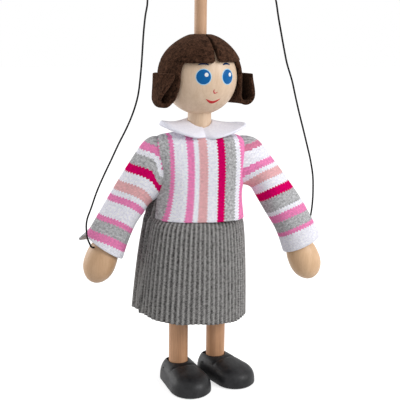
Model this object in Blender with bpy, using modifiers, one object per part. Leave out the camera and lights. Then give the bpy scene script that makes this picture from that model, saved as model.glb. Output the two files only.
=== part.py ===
"""A wooden rod-and-string puppet of a girl in a knitted sweater and skirt.

Metres, +Z up, the face towards -Y. The origin is the middle of the head rod's flat top end and everything
hangs below it. The knitwear, the arms and the control bar sit turned by GARMENT_TWIST on the wooden body.
"""

import math

import bmesh
import bpy
from mathutils import Matrix, Vector

MM = 0.001
LEFT, RIGHT = 1, -1
SIDE_NAMES = {LEFT: "left", RIGHT: "right"}

# Fits between pieces
GLUE_GAP = 0.3 * MM
RUN_GAP = 0.45 * MM
WELD = 0.001 * MM

# Head rod and control bar
ROD_DIAMETER = 6.6 * MM
ROD_SHOWN = 69.1 * MM
ROD_IN_HEAD = 15 * MM
ROD_CHAMFER = 0.6 * MM
BAR_DIAMETER = 11 * MM
BAR_LENGTH = 76 * MM
BAR_HOLE_SPAN = 63 * MM
BAR_DROP = 12 * MM
BAR_BEVEL = 1.2 * MM
STRING_DIAMETER = 1.0 * MM
STRING_HOLE = STRING_DIAMETER + 2 * RUN_GAP
KNOT_DIAMETER = 3.4 * MM

# Head, neck and hair
HEAD_DIAMETER = 40 * MM
NECK_DIAMETER = 12.4 * MM
NECK_SHOWN = 9.4 * MM
NECK_IN_HEAD = 7 * MM
NECK_IN_TORSO = 14 * MM
FELT = 2.8 * MM
STRIP_FELT = 2.2 * MM
STRIP_GAP = 0.5 * MM
HAIR_SEAM = 0.4 * MM
BACK_SEAM = 0.8 * MM
FRINGE_EDGE = {LEFT: math.radians(22.5), RIGHT: math.radians(20.5)}
BACK_EDGE = math.radians(21.5)
FRINGE_TOP = math.radians(77)
PARTING = math.radians(1.2)
PARTING_CORNER = math.radians(6)
CAP_CROWDING = 1.2
STRIP_FRONT = -13.2 * MM
STRIP_BACK = 9 * MM
FLIP_SPREAD = 26.2 * MM
FLIP_TAPER = 3.6 * MM
FLIP_LEAN = 2.4 * MM
FLIP_LEAN_SHARE = 0.6
FLIP_DROP = {LEFT: 14.6 * MM, RIGHT: 15.8 * MM}
FLIP_RISE = 2.2 * MM
BACK_HAIR_START = math.radians(120)
BACK_BLEND = math.radians(35)
BACK_HAIR_DROP = 14 * MM

# Torso, hips and shoulders
TORSO_DIAMETER = 28 * MM
TORSO_HEIGHT = 59.5 * MM
TORSO_TOP_DIAMETER = 18 * MM
TORSO_SHOULDER = 6 * MM
TORSO_SINK = 2 * MM
SHOULDER_DROP = 16 * MM
SHOULDER_HALF_SPAN = 25.5 * MM
HIP_RISE = 8 * MM
PIN_DIAMETER = 3 * MM
PIN_HEAD_DIAMETER = 5.4 * MM
PIN_HEAD = 1.2 * MM
PIN_FROM_NECK = 3 * MM
PIN_HOLE_FROM_NECK = 2 * MM

# Arms and hands
GARMENT_TWIST = math.radians(-17)
ARM_ANGLE = {LEFT: math.radians(32.2), RIGHT: math.radians(27.6)}
ARM_DIAMETER = 6.2 * MM
ARM_ABOVE_PIN = 4.5 * MM
HAND_REACH = {LEFT: 67.7 * MM, RIGHT: 62.7 * MM}
HAND_DIAMETER = 17.8 * MM
HAND_LENGTH = 25 * MM
HAND_DROOP = math.radians(8)
STRING_HOLE_RISE = {LEFT: 7.0 * MM, RIGHT: 7.7 * MM}
STRING_HOLE_TURN = {LEFT: math.radians(-60), RIGHT: math.radians(37)}
STRING_HOLE_DEPTH = 3 * MM
STRING_SEAT = 0.6 * MM
STRING_LEAD = 1.6 * MM
ARM_IN_HAND = 7 * MM

# Knitwear and collar
KNIT = 1.2 * MM
ARMHOLE_RADIUS = 14.2 * MM
ARMHOLE_START = 22 * MM
ARMHOLE_LENGTH = 24 * MM
SWEATER_DROP = 46.5 * MM
COLLAR_TWIST = math.radians(-12)
COLLAR_FELT = 1.5 * MM
COLLAR_ROOM = 0.5 * MM
COLLAR_FRONT = 19.5 * MM
COLLAR_TIP = {LEFT: 25.8 * MM, RIGHT: 22.3 * MM}
COLLAR_INNER_RISE = (2.9 * MM, 4.2 * MM, 6.0 * MM)
COLLAR_OUTER_RISE = (-2.0 * MM, 4.6 * MM, -0.4 * MM)
COLLAR_SAG = 1.2 * MM
COLLAR_CURVE = 1.6
COLLAR_SLIT = math.radians(2)
COLLAR_CORNER = 3.4 * MM
COLLAR_CORNER_REACH = math.radians(11)
SKIRT_KNIT = 1.5 * MM
SKIRT_WAIST_DROP = 39.5 * MM
SKIRT_LENGTH = 62.5 * MM
SKIRT_LEAN = -2.85 * MM
HEM_SLOPE = 0.08
PLEAT_ANGLE = math.radians(151)
PLEAT_WIDTH = math.radians(10)
PLEAT_DEPTH = 5 * MM
PLEAT_START = 0.11
PLEAT_GROWTH = 9
PLEAT_CROWDING = 0.765

# Legs and shoes
LEG_DIAMETER = 10.8 * MM
LEG_SPACING = 23.5 * MM
HIP_TO_ANKLE = 82.9 * MM
ANKLE_HEIGHT = 7.2 * MM
ANKLE_PIN_DIAMETER = 2.4 * MM
SHOE_LENGTH = 39.2 * MM
SHOE_WIDTH = 21 * MM
TOE_WIDTH = 23.2 * MM
SHOE_HEIGHT = 12.4 * MM
SHOE_DOME = 8 * MM
SHOE_FALL = 0.10
SOLE_BEVEL = 0.8 * MM
TOE_OUT = {LEFT: math.radians(14), RIGHT: math.radians(0)}
HEEL_ROOM = 3.2 * MM

# Levels that follow from the sizes
HEAD_Z = -ROD_SHOWN - HEAD_DIAMETER / 2
TORSO_TOP_Z = HEAD_Z - HEAD_DIAMETER / 2 - NECK_SHOWN
TORSO_BOTTOM_Z = TORSO_TOP_Z - TORSO_HEIGHT
SHOULDER_Z = TORSO_TOP_Z - SHOULDER_DROP
HIP_Z = TORSO_BOTTOM_Z + HIP_RISE

# Sweater sections: drop below the torso's top, half width and half depth, from the hem up to the neck
SWEATER_SECTIONS = (
    (SWEATER_DROP, 24.8 * MM, 18.7 * MM),
    (SWEATER_DROP - 12 * MM, 23.6 * MM, 17.6 * MM),
    (SHOULDER_DROP + 10 * MM, 24.2 * MM, 17.5 * MM),
    (SHOULDER_DROP, 24.4 * MM, 17.5 * MM),
    (SHOULDER_DROP - 9 * MM, 24.2 * MM, 16.7 * MM),
    (2.8 * MM, 22.9 * MM, 15.2 * MM),
    (1.3 * MM, 18.5 * MM, 12.8 * MM),
    (-0.2 * MM, 11.5 * MM, 9.8 * MM),
)
SWEATER_POWER = 2.8

# Skirt sections: share of its length below the waist, half width and half depth
SKIRT_SECTIONS = (
    (0.00, 22.4 * MM, 15.9 * MM),
    (0.11, 22.4 * MM, 15.9 * MM),
    (0.20, 26.7 * MM, 18.9 * MM),
    (0.45, 28.5 * MM, 21.2 * MM),
    (0.72, 29.7 * MM, 23.2 * MM),
    (1.00, 30.6 * MM, 24.8 * MM),
)

# The sleeve's round end in the armhole: start and end out from the shoulder pin's arm, and its radius
SLEEVE_START = ARMHOLE_START + GLUE_GAP - SHOULDER_HALF_SPAN
SLEEVE_ROUND_END = 0.8 * MM
SLEEVE_RADIUS = ARMHOLE_RADIUS - RUN_GAP

# Sleeve guide lines below that, as shares of the arm's reach out and up from the shoulder pin: underarm side
# and shoulder side, then the half depth between them
SLEEVE_SECTIONS = {
    LEFT: (
        (0.062, -0.225, 0.108, 0.163, 12.6 * MM),
        (0.110, -0.306, 0.207, 0.043, 11.5 * MM),
        (0.186, -0.430, 0.335, -0.122, 10.7 * MM),
        (0.284, -0.591, 0.498, -0.350, 10.0 * MM),
        (0.352, -0.780, 0.660, -0.629, 9.9 * MM),
    ),
    RIGHT: (
        (0.030, -0.329, 0.088, 0.156, 12.6 * MM),
        (0.085, -0.436, 0.190, 0.006, 11.5 * MM),
        (0.150, -0.548, 0.328, -0.214, 10.7 * MM),
        (0.215, -0.698, 0.468, -0.448, 10.0 * MM),
        (0.268, -0.860, 0.582, -0.646, 9.6 * MM),
    ),
}

# String routes in the turned frame, from the knot on the bar down to where each string turns in to its hand
STRING_ROUTES = {
    LEFT: (
        (31.5, 0.0, -6.6), (31.5, 0.0, -14.0), (33.0, 0.2, -22.0), (37.2, 1.0, -36.0), (40.8, 2.0, -48.4),
        (42.4, 2.0, -56.7), (44.2, 2.0, -65.0), (46.1, 2.0, -73.5), (48.2, 2.0, -82.0), (51.2, 2.0, -90.6),
        (53.5, 2.0, -99.3), (55.9, 2.0, -108.1), (58.5, 2.0, -116.9), (61.1, 2.0, -125.9), (63.6, 2.0, -135.0),
        (65.4, 2.0, -144.2), (66.1, 2.6, -153.6), (66.7, 4.9, -160.8), (67.0, 7.4, -166.4), (66.9, 9.6, -171.6),
        (66.2, 10.8, -176.2), (65.2, 10.9, -179.8), (64.2, 9.9, -182.1),
    ),
    RIGHT: (
        (-31.5, 0.0, -6.6), (-31.5, 0.0, -14.0), (-30.6, 0.0, -22.0), (-28.9, 0.0, -36.0), (-27.9, 0.0, -49.9),
        (-29.1, 0.0, -58.0), (-30.0, 0.0, -66.1), (-30.6, 0.0, -74.3), (-31.2, 0.0, -82.6), (-32.0, 0.0, -90.9),
        (-33.2, 0.0, -99.3), (-35.7, 0.0, -107.8), (-39.3, 0.0, -116.3), (-43.7, 0.0, -124.9),
        (-47.8, 0.0, -133.6), (-52.0, 0.0, -142.3), (-55.8, -0.2, -150.9), (-58.9, -1.0, -159.5),
        (-61.0, -2.2, -164.8), (-61.7, -3.2, -168.5), (-61.6, -4.8, -171.9), (-61.2, -6.4, -174.9),
        (-60.3, -6.9, -177.5),
    ),
}
STRING_STEPS = 3


def material(name, colour, roughness=0.6, metallic=0.0):
    found = bpy.data.materials.new(name)
    found.use_nodes = True
    shader = found.node_tree.nodes["Principled BSDF"]
    shader.inputs["Base Color"].default_value = (*colour, 1.0)
    shader.inputs["Roughness"].default_value = roughness
    shader.inputs["Metallic"].default_value = metallic
    return found


def collection(name):
    found = bpy.data.collections.new(name)
    bpy.context.scene.collection.children.link(found)
    return found


def place(obj, home, parent=None, location=(0, 0, 0), rotation=(0, 0, 0)):
    home.objects.link(obj)
    obj.parent = parent
    obj.location = location
    obj.rotation_euler = rotation
    return obj


def empty(name, parent=None, location=(0, 0, 0), rotation=(0, 0, 0)):
    """A frame to hang pieces from, on a joint's axis where they move."""
    return place(bpy.data.objects.new(name, None), PUPPET, parent, location, rotation)


def from_bmesh(name, bm, look):
    mesh = bpy.data.meshes.new(name)
    bm.to_mesh(mesh)
    bm.free()
    if look:
        mesh.materials.append(look)
    return bpy.data.objects.new(name, mesh)


def turned(name, look, profile, steps=28):
    """A turned piece: a profile of (radius, height) pairs, top to bottom on its outer side, spun about Z."""
    mesh = bpy.data.meshes.new(name)
    points = [(radius, 0.0, height) for radius, height in profile]
    mesh.from_pydata(points, [(i, i + 1) for i in range(len(points) - 1)], [])
    mesh.materials.append(look)
    obj = bpy.data.objects.new(name, mesh)
    screw = obj.modifiers.new("Screw", "SCREW")
    screw.angle = 2 * math.pi
    screw.steps = steps
    screw.render_steps = steps
    screw.use_merge_vertices = True
    screw.merge_threshold = WELD
    return obj


def arc(centre, radius, start, end, count):
    """Points (radius, height) on a circle in a turning profile; the angles run from straight up, outwards."""
    points = []
    for i in range(count + 1):
        angle = start + (end - start) * i / count
        points.append((radius * math.sin(angle), centre + radius * math.cos(angle)))
    return points


def cutter(name, bm, parent=None, location=(0, 0, 0), rotation=(0, 0, 0)):
    obj = from_bmesh(name, bm, None)
    obj.hide_render = True
    obj.display_type = "WIRE"
    return place(obj, CUTTERS, parent, location, rotation)


def cylinder(radius, length, segments=24, axis="Z"):
    bm = bmesh.new()
    turn = {"X": Matrix.Rotation(math.pi / 2, 4, "Y"), "Y": Matrix.Rotation(math.pi / 2, 4, "X")}
    bmesh.ops.create_cone(
        bm, cap_ends=True, segments=segments, radius1=radius, radius2=radius, depth=length,
        matrix=turn.get(axis, Matrix()),
    )
    return bm


def block(width, depth, height):
    bm = bmesh.new()
    bmesh.ops.create_cube(bm, size=1.0, matrix=Matrix.Diagonal((width, depth, height, 1.0)))
    return bm


def cut(obj, tool):
    boolean = obj.modifiers.new("Cut " + tool.name, "BOOLEAN")
    boolean.operation = "DIFFERENCE"
    boolean.solver = "EXACT"
    boolean.object = tool


def bevel(obj, width, segments=2):
    added = obj.modifiers.new("Bevel", "BEVEL")
    added.width = width
    added.segments = segments
    added.limit_method = "ANGLE"
    added.angle_limit = math.radians(50)


def sheet(name, look, surface, columns, rows, thickness, closed=False, flipped=False):
    """Felt or knit: a grid bent by surface(u, v) to its outer face, then given its thickness inwards."""
    bm = bmesh.new()
    bmesh.ops.create_grid(bm, x_segments=columns, y_segments=rows, size=0.5)
    for vert in bm.verts:
        vert.co = surface(vert.co.x + 0.5, vert.co.y + 0.5)
    if closed:
        bmesh.ops.remove_doubles(bm, verts=bm.verts[:], dist=WELD)
    if flipped:
        bmesh.ops.reverse_faces(bm, faces=bm.faces[:])
    obj = from_bmesh(name, bm, look)
    solidify = obj.modifiers.new("Solidify", "SOLIDIFY")
    solidify.thickness = thickness
    solidify.offset = -1.0
    solidify.use_even_offset = True
    return obj


def smooth_step(t):
    t = min(max(t, 0.0), 1.0)
    return t * t * (3 - 2 * t)


def between(sections, t):
    """Rows of numbers read at t from 0 to 1 along them, on a smooth curve through the rows."""
    at = t * (len(sections) - 1)
    i = min(int(at), len(sections) - 2)
    f = at - i
    before, here = sections[max(i - 1, 0)], sections[i]
    there, after = sections[i + 1], sections[min(i + 2, len(sections) - 1)]
    read = []
    for p0, p1, p2, p3 in zip(before, here, there, after):
        bend = (2 * p0 - 5 * p1 + 4 * p2 - p3) * f * f + (3 * p1 - p0 - 3 * p2 + p3) * f * f * f
        read.append(p1 + 0.5 * ((p2 - p0) * f + bend))
    return read


def control_bar():
    bar = from_bmesh("control_bar", cylinder(BAR_DIAMETER / 2, BAR_LENGTH, axis="X"), WOOD)
    place(bar, PUPPET, TURNED, (0, 0, -BAR_DROP))
    bevel(bar, BAR_BEVEL)
    drilled = cutter("bar_rod_hole", cylinder(ROD_DIAMETER / 2 + GLUE_GAP, 3 * BAR_DIAMETER), bar)
    cut(bar, drilled)
    for side, side_name in SIDE_NAMES.items():
        hole = cylinder(STRING_HOLE / 2, 3 * BAR_DIAMETER, 12)
        cut(bar, cutter("bar_hole_" + side_name, hole, bar, (side * BAR_HOLE_SPAN / 2, 0, 0)))


def string_knots():
    """A knot on the bar's top above each string, clear of the string's end."""
    for side, side_name in SIDE_NAMES.items():
        bm = bmesh.new()
        squash = Matrix.Diagonal((1.0, 1.0, 0.7, 1.0))
        bmesh.ops.create_uvsphere(bm, u_segments=14, v_segments=8, radius=KNOT_DIAMETER / 2, matrix=squash)
        rise = BAR_DIAMETER / 2 + 0.35 * KNOT_DIAMETER + GLUE_GAP
        spot = (side * BAR_HOLE_SPAN / 2, 0, rise - BAR_DROP)
        place(from_bmesh("bar_knot_" + side_name, bm, STRING), PUPPET, TURNED, spot)


def head_rod():
    bottom = -ROD_SHOWN - ROD_IN_HEAD
    radius = ROD_DIAMETER / 2
    profile = [(0, 0), (radius - ROD_CHAMFER, 0), (radius, -ROD_CHAMFER), (radius, bottom), (0, bottom)]
    place(turned("head_rod", WOOD, profile, 24), PUPPET)


def head():
    """A turned ball, bored from the top for the rod and from below for the neck."""
    radius = HEAD_DIAMETER / 2
    rod_hole = ROD_DIAMETER / 2 + GLUE_GAP
    neck_hole = NECK_DIAMETER / 2 + GLUE_GAP
    rod_floor = radius - ROD_IN_HEAD - GLUE_GAP
    neck_floor = -radius + NECK_IN_HEAD + GLUE_GAP
    ball = arc(0, radius, math.asin(rod_hole / radius), math.pi - math.asin(neck_hole / radius), 16)
    profile = [(0, rod_floor), (rod_hole, rod_floor), *ball, (neck_hole, neck_floor), (0, neck_floor)]
    place(turned("head", PALE_WOOD, profile, 30), PUPPET, None, (0, 0, HEAD_Z))


def neck():
    top = HEAD_Z - HEAD_DIAMETER / 2 + NECK_IN_HEAD
    bottom = TORSO_TOP_Z - NECK_IN_TORSO
    radius = NECK_DIAMETER / 2
    place(turned("neck", PALE_WOOD, [(0, top), (radius, top), (radius, bottom), (0, bottom)], 24), PUPPET)


def on_head(around, up, radius):
    """A point around the head from its face, round its left side, at a height angle."""
    level = radius * math.cos(up)
    return Vector((level * math.sin(around), -level * math.cos(around), radius * math.sin(up)))


def mirrored(point, side):
    return Vector((side * point.x, point.y, point.z))


def hair_edge(side, around):
    """Height angle of the cap's lower edge, the same for both halves where they meet at the back."""
    back = smooth_step((around - BACK_HAIR_START) / BACK_BLEND)
    return FRINGE_EDGE[side] + (BACK_EDGE - FRINGE_EDGE[side]) * back


def fringe(side):
    """Half of the hair's cap, from the parting over the face round to the back, with a rounded front corner."""

    def surface(u, v):
        around = PARTING + (math.pi - 2 * PARTING) * u ** CAP_CROWDING
        corner = PARTING_CORNER * math.exp(-(((around - PARTING) / PARTING_CORNER) ** 2))
        edge = hair_edge(side, around) + corner
        up = edge + (FRINGE_TOP - edge) * v
        apart = PARTING * (1 / math.cos(up) - 1) * (1 - 2 * u)
        return mirrored(on_head(around + apart, up, HEAD_DIAMETER / 2 + GLUE_GAP + FELT), side)

    piece = sheet("fringe_" + SIDE_NAMES[side], FELT_BROWN, surface, 18, 5, FELT, flipped=side == RIGHT)
    place(piece, PUPPET, None, (0, 0, HEAD_Z))


def hair_flip(side):
    """A side strip of hair: down the side of the head, round a turn and up again as a flip that leans in."""
    radius = HEAD_DIAMETER / 2 + STRIP_GAP + STRIP_FELT / 2
    top = radius * math.sin(FRINGE_EDGE[side] - HAIR_SEAM / radius)

    def surface(u, v):
        y = STRIP_BACK + (STRIP_FRONT - STRIP_BACK) * u
        hung = math.sqrt(radius * radius - y * y)
        flip = FLIP_SPREAD - FLIP_TAPER * smooth_step(y / STRIP_BACK)
        turn = (flip - hung) / 2
        turn_z = -FLIP_DROP[side] + STRIP_FELT / 2 + turn
        down = top - turn_z
        bend = math.pi * turn
        rise = FLIP_RISE - turn_z
        along = v * (down + bend + rise)
        if along < down:
            z = top - along
            x = math.sqrt(radius * radius - y * y - max(z, 0) ** 2)
            return mirrored(Vector((x, y, z)), side)
        if along < down + bend:
            angle = (along - down) / turn
            x = hung + turn - turn * math.cos(angle)
            return mirrored(Vector((x, y, turn_z - turn * math.sin(angle))), side)
        risen = (along - down - bend) / rise
        lean = min(FLIP_LEAN, FLIP_LEAN_SHARE * (flip - hung - STRIP_FELT)) * smooth_step(risen)
        return mirrored(Vector((flip - lean, y, turn_z + rise * risen)), side)

    name = "hair_flip_" + SIDE_NAMES[side]
    piece = sheet(name, FELT_BROWN, surface, 7, 22, STRIP_FELT, flipped=side == RIGHT)
    piece.modifiers["Solidify"].offset = 0.0
    place(piece, PUPPET, None, (0, 0, HEAD_Z))


def hair_back():
    """The hair's back, one piece from side strip to side strip under the cap."""
    radius = HEAD_DIAMETER / 2 + GLUE_GAP + FELT

    def surface(u, v):
        around = BACK_HAIR_START + 2 * (math.pi - BACK_HAIR_START) * u
        side = LEFT if u < 0.5 else RIGHT
        edge = hair_edge(side, min(around, 2 * math.pi - around)) - BACK_SEAM / radius
        top = radius * math.sin(edge)
        z = -BACK_HAIR_DROP + (top + BACK_HAIR_DROP) * v
        level = math.sqrt(radius * radius - max(z, 0) ** 2)
        return Vector((level * math.sin(around), -level * math.cos(around), z))

    place(sheet("hair_back", FELT_BROWN, surface, 14, 7, FELT), PUPPET, None, (0, 0, HEAD_Z))


def torso():
    """A turned block under the neck line, bored for the neck and shoulder pins, with a tongue for the legs."""
    radius = TORSO_DIAMETER / 2
    socket = NECK_DIAMETER / 2 + GLUE_GAP
    floor = -NECK_IN_TORSO - GLUE_GAP
    top = TORSO_TOP_DIAMETER / 2
    profile = [(0, floor), (socket, floor), (socket, -TORSO_SINK)]
    for i in range(6):
        angle = i / 5 * math.pi / 2
        height = TORSO_SHOULDER * (math.cos(angle) - 1) - TORSO_SINK
        profile.append((top + (radius - top) * math.sin(angle), height))
    profile += [(radius, -TORSO_HEIGHT + MM), (radius - MM, -TORSO_HEIGHT), (0, -TORSO_HEIGHT)]
    piece = place(turned("torso", WOOD, profile, 32), PUPPET, None, (0, 0, TORSO_TOP_Z))
    tongue = LEG_SPACING - LEG_DIAMETER - 2 * RUN_GAP
    leg_room = HIP_RISE + LEG_DIAMETER / 2 + 2 * RUN_GAP
    for side, side_name in SIDE_NAMES.items():
        room = block(radius, 3 * radius, 2 * leg_room)
        at = (side * (tongue / 2 + radius / 2), 0, -TORSO_HEIGHT)
        cut(piece, cutter("leg_room_" + side_name, room, piece, at))
    hip_hole = cylinder(PIN_DIAMETER / 2 + GLUE_GAP, 3 * radius, 16, "X")
    cut(piece, cutter("hip_hole", hip_hole, piece, (0, 0, -TORSO_HEIGHT + HIP_RISE)))
    for side, side_name in SIDE_NAMES.items():
        hole = cylinder(PIN_DIAMETER / 2 + GLUE_GAP, radius, 16, "X")
        reach = side * (NECK_DIAMETER / 2 + PIN_HOLE_FROM_NECK + radius / 2)
        at = Matrix.Rotation(GARMENT_TWIST, 3, "Z") @ Vector((reach, 0, -SHOULDER_DROP))
        cut(piece, cutter("shoulder_hole_" + side_name, hole, piece, at, (0, 0, GARMENT_TWIST)))


def sweater():
    """The knitted body, boxy in section, with a round armhole about each shoulder pin."""

    def surface(u, v):
        drop, half_width, half_depth = between(SWEATER_SECTIONS, v)
        angle = 2 * math.pi * u
        power = 2 / (SWEATER_POWER - 0.8 * smooth_step(3 * v - 2))
        across, deep = math.cos(angle), math.sin(angle)
        x = half_width * math.copysign(abs(across) ** power, across)
        y = half_depth * math.copysign(abs(deep) ** power, deep)
        return Vector((x, y, -drop))

    piece = sheet("sweater", KNIT_GREY, surface, 32, 12, KNIT, closed=True)
    place(piece, PUPPET, TURNED, (0, 0, TORSO_TOP_Z))
    for side, side_name in SIDE_NAMES.items():
        hole = cylinder(ARMHOLE_RADIUS, ARMHOLE_LENGTH, 32, "X")
        at = (side * (ARMHOLE_START + ARMHOLE_LENGTH / 2), 0, -SHOULDER_DROP)
        cut(piece, cutter("armhole_" + side_name, hole, piece, at))


def collar():
    """A felt ring about the neck, slit at the front, drooping over the chest and standing up elsewhere."""
    inner = NECK_DIAMETER / 2 + COLLAR_ROOM

    def around(values, angle):
        """Front, side and back values run into each other round the neck."""
        front, side, back = values
        ahead = math.cos(angle)
        return side + (front - side) * max(ahead, 0) ** 2 + (back - side) * min(ahead, 0) ** 2

    def surface(u, v):
        angle = COLLAR_SLIT + 2 * (math.pi - COLLAR_SLIT) * (1 - u)
        from_slit = min(angle, 2 * math.pi - angle) - COLLAR_SLIT
        corner = COLLAR_CORNER * math.exp(-((from_slit / COLLAR_CORNER_REACH) ** 2))
        sideways = math.sin(angle) ** 2
        tip = COLLAR_TIP[RIGHT if angle < math.pi else LEFT]
        reach = inner + v * (COLLAR_FRONT + (tip - COLLAR_FRONT) * sideways - corner - inner)
        start, end = around(COLLAR_INNER_RISE, angle), around(COLLAR_OUTER_RISE, angle)
        height = start + (end - start) * v ** COLLAR_CURVE - COLLAR_SAG * sideways * math.sin(math.pi * v)
        return Vector((-reach * math.sin(angle), -reach * math.cos(angle), height))

    piece = sheet("collar", FELT_WHITE, surface, 36, 4, COLLAR_FELT)
    place(piece, PUPPET, None, (0, 0, TORSO_TOP_Z), (0, 0, COLLAR_TWIST))


def skirt():
    """A ribbed tube flaring to its hem, leaning to the puppet's right, where a pleat stands out at the side."""

    def surface(u, v):
        share, half_width, half_depth = between(SKIRT_SECTIONS, 1 - v)
        turn = 2 * math.pi * u
        angle = PLEAT_ANGLE + turn - PLEAT_CROWDING * math.sin(turn)
        off = (angle - PLEAT_ANGLE + math.pi) % (2 * math.pi) - math.pi
        grown = smooth_step(PLEAT_GROWTH * (share - PLEAT_START))
        pleat = PLEAT_DEPTH * grown * math.exp(-((off / PLEAT_WIDTH) ** 2))
        x = (half_width + pleat) * math.cos(angle) + SKIRT_LEAN * share
        y = (half_depth + pleat) * math.sin(angle)
        return Vector((x, y, -share * (SKIRT_LENGTH + HEM_SLOPE * x)))

    piece = sheet("skirt", KNIT_DARK, surface, 44, 9, SKIRT_KNIT, closed=True)
    place(piece, PUPPET, None, (0, 0, TORSO_TOP_Z - SKIRT_WAIST_DROP))


def headed_pin(name, look, half_length, parent, location, rotation):
    """A pin along its own Z with a head at both ends."""
    radius, head_radius = PIN_DIAMETER / 2, PIN_HEAD_DIAMETER / 2
    end = half_length + PIN_HEAD
    profile = [(0, end), (head_radius, end), (head_radius, half_length), (radius, half_length)]
    profile += [(radius, -half_length), (head_radius, -half_length), (head_radius, -end), (0, -end)]
    place(turned(name, look, profile, 16), PUPPET, parent, location, rotation)


def hip_pin():
    half = LEG_SPACING / 2 + LEG_DIAMETER / 2 + RUN_GAP
    headed_pin("hip_pin", STEEL, half, None, (0, 0, HIP_Z), (0, math.pi / 2, 0))


def shoulder_pin(side):
    """A pin from the torso out through the arm, with a head outside the arm."""
    radius, head_radius = PIN_DIAMETER / 2, PIN_HEAD_DIAMETER / 2
    angle = ARM_ANGLE[side]
    arm_half = ARM_DIAMETER / 2 / math.cos(angle) + PIN_DIAMETER * math.tan(angle)
    under_head = SHOULDER_HALF_SPAN + arm_half
    start = NECK_DIAMETER / 2 + PIN_FROM_NECK
    profile = [(0, under_head + PIN_HEAD), (head_radius, under_head + PIN_HEAD), (head_radius, under_head)]
    profile += [(radius, under_head), (radius, start), (0, start)]
    pin = turned("shoulder_pin_" + SIDE_NAMES[side], STEEL, profile, 16)
    place(pin, PUPPET, TURNED, (0, 0, SHOULDER_Z), (0, side * math.pi / 2, 0))


def arm(side):
    """Arm, sleeve and hand, hung from an empty on the shoulder pin's axis."""
    side_name = SIDE_NAMES[side]
    at = (side * SHOULDER_HALF_SPAN, 0, SHOULDER_Z)
    shoulder = empty("shoulder_" + side_name, TURNED, at)
    hang = (0, -side * ARM_ANGLE[side], 0)
    radius = ARM_DIAMETER / 2
    end = -HAND_REACH[side] + HAND_LENGTH / 2 - ARM_IN_HAND
    profile = [(0, ARM_ABOVE_PIN), (radius - MM, ARM_ABOVE_PIN), (radius, ARM_ABOVE_PIN - MM)]
    profile += [(radius, end), (0, end)]
    dowel = place(turned("arm_" + side_name, WOOD, profile, 24), PUPPET, shoulder, (0, 0, 0), hang)
    hole = cylinder(PIN_DIAMETER / 2 + RUN_GAP, 6 * radius, 16, "X")
    cut(dowel, cutter("arm_hole_" + side_name, hole, shoulder))
    sleeve(side, shoulder)
    hand(side, shoulder)


def sleeve(side, shoulder):
    """The sleeve lofted from a round end in the armhole to the cuff on its arm."""
    sections = [
        (out, -SLEEVE_RADIUS, out, SLEEVE_RADIUS, SLEEVE_RADIUS) for out in (SLEEVE_START, SLEEVE_ROUND_END)
    ]
    for *lines, depth in SLEEVE_SECTIONS[side]:
        sections.append((*(share * HAND_REACH[side] for share in lines), depth))

    def surface(u, v):
        under_x, under_z, over_x, over_z, depth = between(sections, 1 - v)
        middle = Vector((under_x + over_x, 0, under_z + over_z)) / 2
        reach = Vector((over_x - under_x, 0, over_z - under_z)) / 2
        angle = 2 * math.pi * u
        return mirrored(middle + reach * math.cos(angle) + Vector((0, depth * math.sin(angle), 0)), side)

    name = "sleeve_" + SIDE_NAMES[side]
    piece = sheet(name, KNIT_GREY, surface, 22, 10, KNIT, closed=True, flipped=side == RIGHT)
    place(piece, PUPPET, shoulder)


def hand_radius(height):
    """Half width of the egg-shaped hand at a height from -1 to 1, blunter at its wrist end."""
    power = 2.6 - 0.6 * smooth_step(0.5 - height / 2)
    return HAND_DIAMETER / 2 * max(1 - abs(height) ** power, 0) ** (1 / power)


def hand_place(side):
    """The hand's middle from the shoulder pin, and the Y angle that the hand hangs at."""
    down = Vector((side * math.sin(ARM_ANGLE[side]), 0, -math.cos(ARM_ANGLE[side])))
    return HAND_REACH[side] * down, -side * (ARM_ANGLE[side] - HAND_DROOP)


def hole_direction(side):
    """The way out of the hand's string hole, in the hand's own frame."""
    return Vector((side * math.cos(STRING_HOLE_TURN[side]), -math.sin(STRING_HOLE_TURN[side]), 0))


def hand(side, shoulder):
    """An egg of wood, blunt at its wrist end, bored for the arm and for the string."""
    half = HAND_LENGTH / 2
    heights = [math.cos(math.pi * i / 11) for i in range(12)]
    profile = [(hand_radius(height), half * height) for height in heights]
    side_name = SIDE_NAMES[side]
    middle, hang = hand_place(side)
    piece = place(turned("hand_" + side_name, PALE_WOOD, profile, 24), PUPPET, shoulder, middle, (0, hang, 0))
    bore = cylinder(ARM_DIAMETER / 2 + GLUE_GAP, 2 * (ARM_IN_HAND + GLUE_GAP), 24)
    at = middle * (1 - half / HAND_REACH[side])
    cut(piece, cutter("wrist_bore_" + side_name, bore, shoulder, at, (0, -side * ARM_ANGLE[side], 0)))
    hole = cylinder(STRING_HOLE / 2, 2 * STRING_HOLE_DEPTH, 12, "X")
    out = hole_direction(side)
    at = HAND_DIAMETER / 2 * out + Vector((0, 0, STRING_HOLE_RISE[side]))
    cut(piece, cutter("string_hole_" + side_name, hole, piece, at, (0, 0, math.atan2(out.y, out.x))))


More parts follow.
